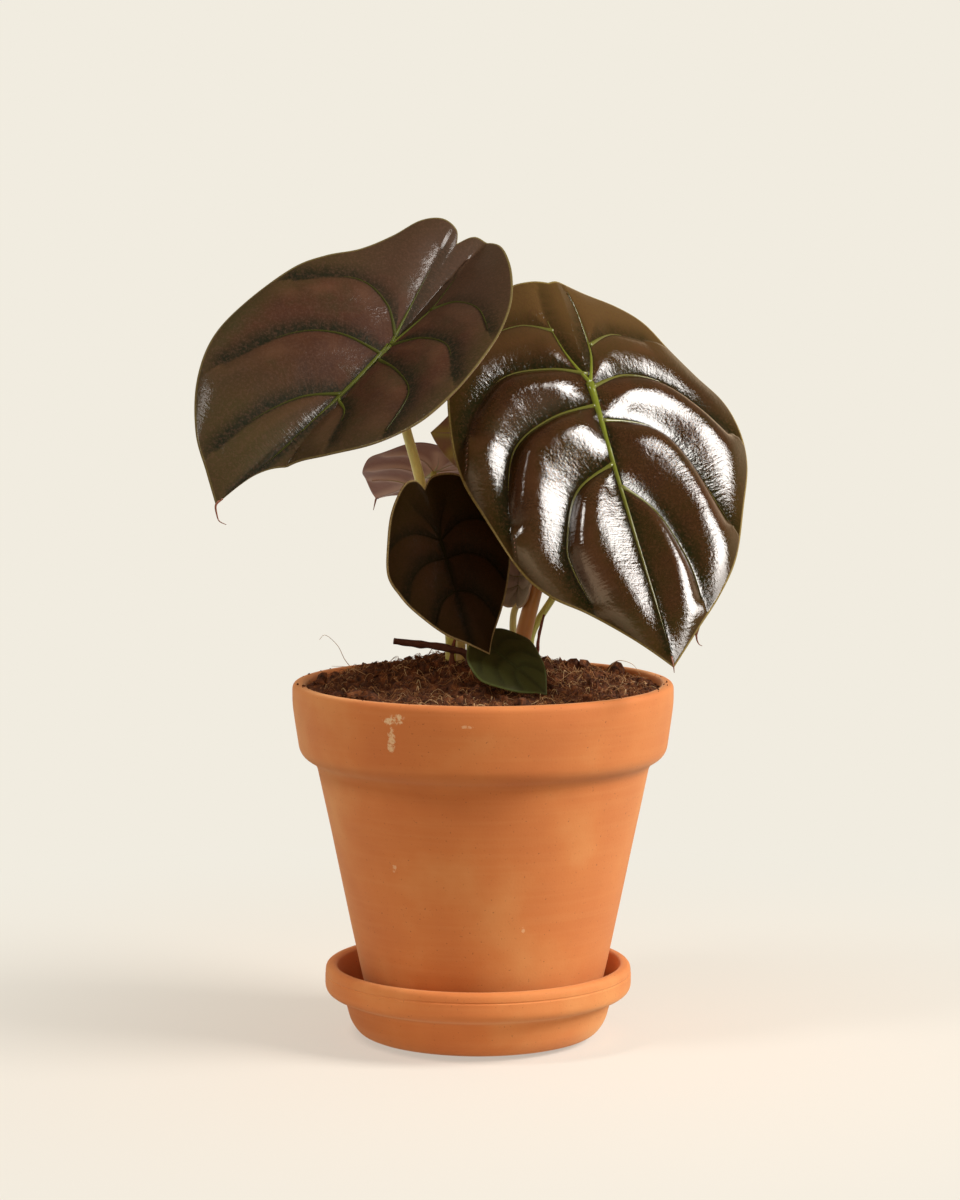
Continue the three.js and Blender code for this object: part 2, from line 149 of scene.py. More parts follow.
# A turned shape: each point (radius, height) of the profile goes round the upright axis at axisX.
def turnedRings(profile, columns, axisX):
    turn = np.linspace(0, 2 * np.pi, columns, endpoint=False)
    radius, height = profile[:, :1], profile[:, 1:]
    x, y = axisX + radius * np.cos(turn), radius * np.sin(turn)
    return np.stack([x, y, np.broadcast_to(height, x.shape)], axis=2)


# A tube round a line, with a pole at each end: its skin is radius away from the line at each angle, which
# turns from side to over = tangent x side.
def tubeSkin(line, radius, angle):
    tangent = np.gradient(line, axis=0)
    tangent /= np.linalg.norm(tangent, axis=1)[:, None]
    side = np.cross(tangent, [0.0, 1.0, 0.05])
    side /= np.linalg.norm(side, axis=1)[:, None]
    over = np.cross(tangent, side)
    sideways, upwards = (radius * np.cos(angle))[..., None], (radius * np.sin(angle))[..., None]
    return skinOver(line[:, None] + sideways * side[:, None] + upwards * over[:, None], line[0], line[-1])


# Puts millimetre points and faces into a new object, with a number on each point for the materials.
def makePiece(name, points, faces, finishes, numbers=None, faceFinish=None, smooth=True):
    mesh = bpy.data.meshes.new(name)
    mesh.from_pydata((np.asarray(points) * mm).tolist(), [], faces)
    for finish in finishes:
        mesh.materials.append(finish)
    if faceFinish is not None:
        mesh.polygons.foreach_set("material_index", np.asarray(faceFinish, np.int32))
    mesh.polygons.foreach_set("use_smooth", np.full(len(mesh.polygons), smooth))
    for key, values in (numbers or {}).items():
        layer = mesh.attributes.new(key, "FLOAT", "POINT")
        layer.data.foreach_set("value", np.asarray(values, np.float32).ravel())
    mesh.update()
    piece = bpy.data.objects.new(name, mesh)
    bpy.context.scene.collection.objects.link(piece)
    return piece


# Several skins as one: points stacked, and each skin's faces moved on by the points before it.
def joinSkins(skins):
    points, faces, start = [], [], 0
    for skinPoints, skinFaces in skins:
        points.append(skinPoints)
        faces.extend([[start + k for k in face] for face in skinFaces])
        start += len(skinPoints)
    return np.vstack(points), faces


def stand(piece, nodeName):
    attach(piece, "root")
    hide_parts(nodeName)


# Materials

# Settings that many nodes share: a range that eases in and out, a mix of colours, a product, and a
# product plus a third number.
eased = {"interpolation_type": "SMOOTHSTEP"}
coloured = {"data_type": "RGBA", "output": 2}
times = {"operation": "MULTIPLY"}
timesPlus = {"operation": "MULTIPLY_ADD"}


def linear(hexColour):
    parts = [int(hexColour[k : k + 2], 16) / 255 for k in (1, 3, 5)]
    return (*[c / 12.92 if c <= 0.04045 else ((c + 0.055) / 1.055) ** 2.4 for c in parts], 1)


# Adds a node of one kind with its settings and gives one of its outputs. Inputs are values, or sockets,
# which are linked, by name or in order; stops are the (place, colour) pairs of a ramp.
def addNode(tree, kind, inputs=(), output=0, stops=(), **settings):
    node = tree.nodes.new("ShaderNode" + kind)
    for key, value in settings.items():
        setattr(node, key, value)
    for key, value in inputs.items() if isinstance(inputs, dict) else enumerate(inputs):
        if isinstance(value, bpy.types.NodeSocket):
            tree.links.new(value, node.inputs[key])
        else:
            node.inputs[key].default_value = value
    if stops:
        for element, (place, colour) in zip(node.color_ramp.elements, (stops[0], stops[-1])):
            element.position, element.color = place, linear(colour)
        for place, colour in stops[1:-1]:
            node.color_ramp.elements.new(place).color = linear(colour)
    return node.outputs[output] if node.outputs else None


# Starts a material and what its settings list. A noise is the size of its lumps in mm, its detail, its
# roughness and its stretch along each axis. A number is one that the points carry. A mask goes from 0 to 1,
# or from its third number to its fourth, as a noise or number goes from its first number to its second.
def newMaterial(name, settings):
    material = bpy.data.materials.new(name)
    material.use_nodes = True
    material.node_tree.nodes.clear()
    add = partial(addNode, material.node_tree)
    value = {"where": add("TexCoord", output="Object")}
    for key, (size, detail, roughness, *stretch) in settings.get("noises", {}).items():
        place = add("Mapping", {"Vector": value["where"], "Scale": stretch or (1, 1, 1)})
        inputs = {"Vector": place, "Scale": 1 / (size * mm), "Detail": detail, "Roughness": roughness}
        value[key] = add("TexNoise", inputs)
    for key in settings.get("numbers", ()):
        value[key] = add("Attribute", output="Fac", attribute_name=key)
    for key, (basis, *span) in settings.get("masks", {}).items():
        value[key] = add("MapRange", [value[basis], *span], **eased)
    return material, add, value


# Ends a material: the principled shader with its inputs, into the output.
def finishWith(add, inputs):
    add("OutputMaterial", [add("BsdfPrincipled", inputs)])


# Earthenware, thrown, fired once and left unglazed: quite matt, with a fine sandy grain, faint turning
# lines and slow clouds of paler and redder clay. The pot also has lime where it was splashed.
clay = {
    "clouds": [(0.3, "#c57035"), (0.5, "#cd7a3c"), (0.72, "#d69052")],
    "pore": "#7c3d20", "pale": "#d69052", "lime": "#e9cfa6",
    "noises": {
        "cloud": (38, 4, 0.5), "grain": (0.9, 3, 0.5), "line": (2.2, 3, 0.5, 0.04, 0.04, 1),
        "spatter": (2.2, 5, 0.75),
    },
    "masks": {"pores": ("grain", 0.34, 0.24, 0, 0.7), "streaks": ("line", 0.4, 0.75, 0, 0.18)},
    "splashReach": 0.22,  # how much the lime follows the splash's oval, against its spatter
    "splashEdge": (0.6, 0.72), "splashFade": (0, 0.3),
    "grainBump": 0.6, "lineBump": 0.5, "bump": 0.35, "bumpDepth": 0.25,
}


def firedClay(name, splashes=()):
    material, add, value = newMaterial(name, clay)
    colour = add("ValToRGB", [value["cloud"]], stops=clay["clouds"])
    for mask, over in (("pores", "pore"), ("streaks", "pale")):
        colour = add("Mix", {0: value[mask], 6: colour, 7: linear(clay[over])}, **coloured)
    front = add("Math", [add("SeparateXYZ", [value["where"]], 1), 0], operation="LESS_THAN")
    for splash in splashes:
        x, z, wide, tall = (splash[key] * mm for key in ("x", "z", "wide", "tall"))
        inputs = {"Location": (-x / wide, 0, -z / tall), "Scale": (1 / wide, 0, 1 / tall)}
        place = add("Mapping", {"Vector": value["where"], **inputs})
        squares = add("VectorMath", [place, place], "Value", operation="DOT_PRODUCT")
        near = add("Math", [1, squares], operation="SUBTRACT")
        ragged = add("Math", [near, clay["splashReach"], value["spatter"]], **timesPlus)
        inside = add("MapRange", [ragged, *clay["splashEdge"]], **eased)
        fade = add("MapRange", [near, *clay["splashFade"], 0, splash["strength"]], **eased)
        mask = add("Math", [add("Math", [inside, fade], **times), front], **times)
        colour = add("Mix", {0: mask, 6: colour, 7: linear(clay["lime"])}, **coloured)
    height = add("Math", [value["line"], clay["lineBump"]], **times)
    height = add("Math", [value["grain"], clay["grainBump"], height], **timesPlus)
    bump = add("Bump", {"Strength": clay["bump"], "Distance": clay["bumpDepth"] * mm, "Height": height})
    finishWith(add, {
        "Base Color": colour, "Roughness": 0.8, "Specular IOR Level": 0.6, "Normal": bump,
        "Sheen Weight": 0.3, "Sheen Roughness": 0.5, "Sheen Tint": linear(clay["lime"]),
    })
    return material


# Pot and saucer

# Corners are (radius, height, rounding). Each is rounded by the quadratic curve that starts and ends
# that far from it, and long stretches are divided into even steps.
def roundedProfile(corners, closed, step=2.2, bendSteps=7):
    count = len(corners)
    points = []
    t = np.linspace(0, 1, bendSteps)[:, None]
    for i, (radius, height, rounding) in enumerate(corners):
        corner = np.array([radius, height], float)
        if not rounding:
            points.append(corner[None])
            continue
        ends = []
        for other in ((i - 1) % count, (i + 1) % count):
            line = np.array(corners[other][:2], float) - corner
            ends.append(corner + line * rounding / np.linalg.norm(line))
        points.append((1 - t) ** 2 * ends[0] + 2 * t * (1 - t) * corner + t**2 * ends[1])
    line = np.vstack(points)
    if closed:
        line = np.vstack([line, line[:1]])
    fine = [line[:1]]
    for a, b in zip(line[:-1], line[1:]):
        parts = max(1, round(float(np.linalg.norm(b - a)) / step))
        fine.append(a + (b - a) * np.linspace(0, 1, parts + 1)[1:, None])
    return np.vstack(fine)


saucer = {
    "columns": 220,
    "corners": [
        (0, 0, 0), (38, 0, 2), (47, 2.2, 2.2), (50.5, 6.5, 3), (53, 16, 1.6), (60.5, 18.6, 3),
        (60.5, 25.2, 0.25), (60.1, 25.6, 0.25), (60.4, 26.1, 0.2), (60.2, 29.5, 2.4), (56, 29.5, 1.7),
        (50, 6, 4), (0, 6, 0),
    ],
    "waver": 0.25,  # how far the hand-finished clay strays from round
}

pot = {
    "columns": 240,
    "axisX": 2,
    "corners": [
        (9, 6, 0), (44, 6, 1.5), (65.7, 109.5, 2.5), (72.2, 113.5, 3.5), (75, 133.5, 3),
        (75, 141.5, 2.6), (70, 141.5, 2), (38.4, 12, 3), (9, 12, 0),
    ],
    "waver": 0.2,
    "splashes": [
        {"x": -31.5, "z": 135.6, "wide": 5.5, "tall": 2.8, "strength": 0.85},
        {"x": -32.6, "z": 127.5, "wide": 1.8, "tall": 7, "strength": 0.75},
        {"x": -4, "z": 134, "wide": 3, "tall": 0.9, "strength": 0.45},
        {"x": -32, "z": 76, "wide": 1.1, "tall": 2.4, "strength": 0.5},
        {"x": 17, "z": 52, "wide": 0.9, "tall": 2.2, "strength": 0.4},
    ],
}


# A turned piece of clay. Slow lumps, large ones and smaller ones 0.3 times as high, push each point in or
# out along its own radius, so that the piece isn't quite round.
def thrownRings(profile, piece, axisX, seed):
    rings = turnedRings(profile, piece["columns"], axisX)
    out = rings[..., :2] - [axisX, 0]
    amount = piece["waver"] * lumps(rings, 45, seed) + 0.3 * piece["waver"] * lumps(rings, 9, seed + 1)
    radius = np.maximum(np.linalg.norm(out, axis=-1), 1e-6)
    rings[..., :2] += out / radius[..., None] * amount[..., None]
    return rings


def buildSaucer():
    profile = roundedProfile(saucer["corners"], False)
    rings = thrownRings(profile[1:-1], saucer, 0, 3)
    points, faces = skinOver(rings, [0, 0, profile[0, 1]], [0, 0, profile[-1, 1]])
    stand(makePiece("saucerClay", points, faces, [firedClay("terracottaSaucer")]), "saucer")


def buildPot():
    rings = thrownRings(roundedProfile(pot["corners"], True)[:-1], pot, pot["axisX"], 11)
    rows, columns = rings.shape[:2]
    closed = ringQuads(rows + 1, columns) % (rows * columns)
    finish = firedClay("terracottaPot", pot["splashes"])
    stand(makePiece("potClay", rings.reshape(-1, 3), closed.tolist(), [finish]), "pot")


buildSaucer()
buildPot()
print("pot and saucer made")


# Soil

soil = {
    "columns": 300, "rings": 96,
    "edgeHeight": 139, "mound": 10, "moundSpread": (52, 35), "moundPlace": (-2, 10), "moundPower": 2.5,
    "lump": 0.7, "lumpLength": 13, "wallRadius": 69.4, "floorHeight": 12, "floorRadius": 34,
    "roughHeights": (1.1, 1.5, 0.55), "roughSizes": [(9, 21), (4.2, 22), (1.5, 23)],  # size and seed
    "scatter": [  # how many, least and greatest size, fine balls or not, seed, how high they sit, on the rim
        (330, 1.0, 3.2, True, 31, 0.1, False),
        (1500, 0.35, 1.3, False, 32, 0.3, False),
        (46, 0.25, 0.9, False, 34, 0.5, True),
    ],
    "stretch": (0.6, 0.6), "rarity": 3, "dent": 0.28, "rimRadius": 72, "rimHeight": 141.5,
}


# The soil's height: its edge height, a mound that falls off as exp(-distance ** power), and two waves of
# low lumps, all of them less the nearer the pot's wall.
def soilHeight(x, y):
    (spreadX, spreadY), (placeX, placeY) = soil["moundSpread"], soil["moundPlace"]
    away = np.hypot((x - placeX) / spreadX, (y - placeY) / spreadY)
    mound = soil["mound"] * np.exp(-(away ** soil["moundPower"]))
    inside = np.maximum(0, 1 - (np.hypot(x - pot["axisX"], y) / soil["wallRadius"]) ** 4)
    k = 2 * np.pi / soil["lumpLength"]
    waves = np.sin(k * x + 1) * np.sin(k * y) + np.sin(k * (0.6 * x - 0.7 * y) + 2)
    return soil["edgeHeight"] + (mound + soil["lump"] * waves) * inside


# Three sizes of lumps over the smooth height; the middle ones are sharpened into crumbly hollows.
def roughSoilHeight(x, y):
    place = np.stack([x, y], axis=-1)
    inside = smoothStep(np.hypot(x - pot["axisX"], y), soil["wallRadius"], soil["wallRadius"] - 8)
    big, middle, small = (lumps(place, size, seed) for size, seed in soil["roughSizes"])
    bigHigh, middleHigh, smallHigh = soil["roughHeights"]
    crumbly = bigHigh * big - middleHigh * (np.abs(middle) - 0.4)
    return soilHeight(x, y) + crumbly * (0.35 + 0.65 * inside) + smallHigh * small


# Peat and coir, damp: dark brown crumbs with a little rust in them, no shine but a trace on wet bits.
peat = {
    "stops": [(0.3, "#24150c"), (0.46, "#502f1d"), (0.6, "#7e4b2a"), (0.76, "#b07a4c")],
    "noises": {"mottle": (3.2, 5, 0.7), "grit": (0.7, 4, 0.7)},
}

# Dry coir hairs: straw to rust brown, each its own shade from the number on its points.
coir = {
    "stops": [(0.0, "#3b2013"), (0.45, "#744627"), (0.8, "#a87648"), (1.0, "#d8b98a")],
    "numbers": ["shade"],
}


def pottingSoil():
    material, add, value = newMaterial("peatAndCoir", peat)
    colour = add("ValToRGB", [value["mottle"]], stops=peat["stops"])
    bump = add("Bump", {"Strength": 0.9, "Distance": 0.9 * mm, "Height": value["grit"]})
    finishWith(add, {"Base Color": colour, "Roughness": 0.9, "Specular IOR Level": 0.3, "Normal": bump})
    return material


def coirHair():
    material, add, value = newMaterial("coirFibre", coir)
    colour = add("ValToRGB", [value["shade"]], stops=coir["stops"])
    finishWith(add, {"Base Color": colour, "Roughness": 0.7, "Specular IOR Level": 0.3})
    return material


def buildSoilBed(finish):
    share = np.linspace(0, 1, soil["rings"] + 1)[1:, None]
    turn = np.linspace(0, 2 * np.pi, soil["columns"], endpoint=False)
    x = pot["axisX"] + soil["wallRadius"] * share * np.cos(turn)
    y = soil["wallRadius"] * share * np.sin(turn)
    top = np.stack([x, y, roughSoilHeight(x, y)], axis=2)
    floor = turnedRings(np.array([[soil["floorRadius"], soil["floorHeight"]]]), soil["columns"], pot["axisX"])
    rings = np.concatenate([floor, top[::-1]])
    centre = [pot["axisX"], 0]
    topPole = [*centre, float(roughSoilHeight(np.array(centre[0]), np.array(centre[1])))]
    points, faces = skinOver(rings, [*centre, soil["floorHeight"]], topPole)
    stand(makePiece("soilBed", points, faces, [finish]), "soil")


# Random places on the soil, spread evenly over its disc.
def soilPlaces(count, reach, seed):
    rng = np.random.default_rng(seed)
    radius = reach * np.sqrt(rng.random(count))
    turn = rng.random(count) * 2 * np.pi
    x, y = pot["axisX"] + radius * np.cos(turn), radius * np.sin(turn)
    return x, y, rng


# A ball of 20 or 80 triangles: an icosahedron, its edges halved once if fine. Corners an edge apart are
# joined, and each face is turned so that its front is outside.
def roundLump(fine):
    g = (1 + 5**0.5) / 2
    corners = [(-1, g, 0), (1, g, 0), (-1, -g, 0), (1, -g, 0), (0, -1, g), (0, 1, g),
               (0, -1, -g), (0, 1, -g), (g, 0, -1), (g, 0, 1), (-g, 0, -1), (-g, 0, 1)]
    points = np.array(corners, float) / math.hypot(1, g)
    gap = np.linalg.norm(points[:, None] - points, axis=2)
    joined = (gap > 0) & (gap < 1.1)
    faces = [(a, b, c) for a in range(12) for b in range(a + 1, 12) for c in range(b + 1, 12)
             if joined[a, b] and joined[b, c] and joined[a, c]]
    faces = [(a, b, c) if np.dot(np.cross(points[b] - points[a], points[c] - points[a]), points[a]) > 0
             else (a, c, b) for a, b, c in faces]
    if fine:
        middles = {}
        halved = []
        for a, b, c in faces:
            edges = [(min(edge), max(edge)) for edge in ((a, b), (b, c), (c, a))]
            ab, bc, ca = [middles.setdefault(edge, 12 + len(middles)) for edge in edges]
            halved += [(a, ab, ca), (b, bc, ab), (c, ca, bc), (ab, bc, ca)]
        more = np.array([points[a] + points[b] for a, b in middles])
        points = np.vstack([points, more / np.linalg.norm(more, axis=1)[:, None]])
        faces = halved
    return points, np.array(faces)


# Many lumps in one mesh: the ball stretched by three random radii, dented by its own random number at each
# point, turned and set on the soil or the pot's rim.
def scatteredLumps(count, smallest, largest, fine, seed, sink, onRim):
    x, y, rng = soilPlaces(count, soil["wallRadius"] - largest, seed)
    if onRim:
        fromAxis = np.hypot(x - pot["axisX"], y)
        out = (soil["rimRadius"] + rng.normal(0, 1, count)) / fromAxis
        x, y = pot["axisX"] + (x - pot["axisX"]) * out, y * out
    ball, faces = roundLump(fine)
    size = smallest + (largest - smallest) * rng.random(count) ** soil["rarity"]
    least, further = soil["stretch"]
    stretch = size[:, None] * (least + further * rng.random((count, 3)))
    dent = 1 + soil["dent"] * rng.standard_normal((count, len(ball))).clip(-1.5, 1.5)
    local = ball[None] * stretch[:, None] * dent[..., None]
    turn = rng.random(count) * 2 * np.pi
    c, s = np.cos(turn)[:, None], np.sin(turn)[:, None]
    height = (soil["rimHeight"] if onRim else roughSoilHeight(x, y)) + stretch[:, 2] * sink
    points = np.stack([
        x[:, None] + local[..., 0] * c - local[..., 1] * s,
        y[:, None] + local[..., 0] * s + local[..., 1] * c,
        height[:, None] + local[..., 2],
    ], axis=2)
    allFaces = faces[None] + (np.arange(count) * len(ball))[:, None, None]
    return points.reshape(-1, 3), allFaces.reshape(-1, 3).tolist()


hairs = {
    "count": 2600, "seed": 33, "steps": 8,
    "length": (2.5, 11, 2.2),  # the least, how much the longest has over it, and how rare long ones are
    "curl": 2.4, "arch": (0.3, 0.9), "tilt": 0.12, "over": 0.15,
    "radius": (0.06, 0.1), "thinner": 0.7,
    "loose": [
        [(-48, -8, 146), (-52, -9, 151), (-55, -10, 157), (-60, -10, 161), (-62, -9, 159)],
        [(-44, -14, 146), (-50, -16, 149), (-57, -16, 149.5)],
        [(50, -10, 146), (54, -12, 151), (60, -14, 150), (63, -16, 146)],
        [(38, -30, 146), (40, -34, 149.5), (36, -38, 150), (31, -42, 147)],
    ],
    "looseRadius": (0.16, 0.07), "looseSteps": 30, "looseShade": 0.9,
}


# Hairs of coir: each a thin three-sided tube on a path that turns steadily and arches once over the soil.
def scatteredHairs():
    count, steps = hairs["count"], hairs["steps"]
    x, y, rng = soilPlaces(count, soil["wallRadius"] - 5, hairs["seed"])
    along = np.linspace(-0.5, 0.5, steps)
    shortest, longer, rarity = hairs["length"]
    length = shortest + longer * rng.random(count) ** rarity
    heading = rng.random(count) * 2 * np.pi
    curl = rng.normal(0, hairs["curl"], count)
    angle = heading[:, None] + curl[:, None] * along
    stride = (length / (steps - 1))[:, None]
    px = x[:, None] + np.cumsum(np.cos(angle) * stride, axis=1)
    py = y[:, None] + np.cumsum(np.sin(angle) * stride, axis=1)
    fromAxis = np.hypot(px - pot["axisX"], py)
    pull = np.minimum(1, (soil["wallRadius"] - 1) / fromAxis)
    px, py = pot["axisX"] + (px - pot["axisX"]) * pull, py * pull
    low, higher = hairs["arch"]
    arch = (low + higher * rng.random(count))[:, None] * (1 + np.cos(2 * np.pi * along))
    tilt = rng.normal(0, hairs["tilt"], count)[:, None] * length[:, None] * along
    pz = roughSoilHeight(px, py) + hairs["over"] + arch + np.maximum(tilt, -0.3)
    thin, thicker = hairs["radius"]
    radius = (thin + thicker * rng.random(count))[:, None] * (1 - hairs["thinner"] * np.abs(2 * along) ** 3)
    path = np.stack([px, py, pz], axis=2)
    tangent = np.gradient(path, axis=1)
    side = np.cross(tangent, [0, 0, 1.0])
    side /= np.maximum(np.linalg.norm(side, axis=2), 1e-9)[..., None]
    over = np.cross(tangent, side)
    over /= np.maximum(np.linalg.norm(over, axis=2), 1e-9)[..., None]
    corner = np.arange(3) * 2 * np.pi / 3
    rings = (path[:, :, None] + radius[..., None, None] * (np.cos(corner)[:, None] * side[:, :, None]
             + np.sin(corner)[:, None] * over[:, :, None]))
    one = [*ringQuads(steps, 3).tolist(), [2, 1, 0], [3 * steps - 3, 3 * steps - 2, 3 * steps - 1]]
    faces = [[k * 3 * steps + v for v in face] for k in range(count) for face in one]
    shade = np.repeat(rng.random(count), 3 * steps)
    return rings.reshape(-1, 3), faces, shade


# A long dry hair that stands up out of the soil: a thin tube along its path, finer towards its end.
def looseHair(path):
    line = evenly(splineThrough(path, 12, 0.5), hairs["looseSteps"])
    angle = np.linspace(0, 2 * np.pi, 5, endpoint=False)
    return tubeSkin(line, np.linspace(*hairs["looseRadius"], len(line))[:, None], angle)


def buildSoil():
    earth = pottingSoil()
    buildSoilBed(earth)
    points, faces = joinSkins([scatteredLumps(*row) for row in soil["scatter"]])
    clods = makePiece("soilCrumbs", points, faces, [earth], smooth=False)
    points, faces, shade = scatteredHairs()
    points, faces = joinSkins([(points, faces), *[looseHair(path) for path in hairs["loose"]]])
    shade = np.concatenate([shade, np.full(len(points) - len(shade), hairs["looseShade"])])
    fibres = makePiece("soilFibres", points, faces, [coirHair()], {"shade": shade})
    for piece in (clods, fibres):
        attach(piece, "root")


buildSoil()
print("soil made")


# Leaves

# A blade is drawn flat first: v runs along the midrib towards the tip, u across it, and the petiole
# meets it at 0, 0. Each half of the outline runs from the notch between the lobes to the tip.
# Angles that place a blade are degrees, and angles that bend it are radians over its whole length.
heartHalf = [(0, -0.22), (0.05, -0.28), (0.14, -0.285), (0.25, -0.22), (0.34, -0.1), (0.385, 0.07),
             (0.36, 0.22), (0.29, 0.38), (0.19, 0.52), (0.09, 0.63), (0, 0.72)]
heartVeinHalf = [
    [(0, 0), (0.03, -0.1), (0.09, -0.2)],
    [(0, 0), (0.13, -0.07), (0.25, -0.05), (0.33, 0.03)],
    [(0, 0.1), (0.12, 0.1), (0.22, 0.17), (0.28, 0.3)],
    [(0, 0.28), (0.08, 0.31), (0.14, 0.39), (0.17, 0.48)],
]

# What most leaves share.
plainLeaf = {
    "tipBend": 0.1, "tipCurl": 0.3, "baseBend": 0.2, "twist": 0, "midribDepth": 1, "edgeWave": 0.5,
    "wide": 1,  # against the heart shape's own width
    "lean": 0.3,  # how far the pillows' crests lie towards the leaf's base
    "lobeCalm": 0.5,  # how much of the pillows' height is left on the lobes
}

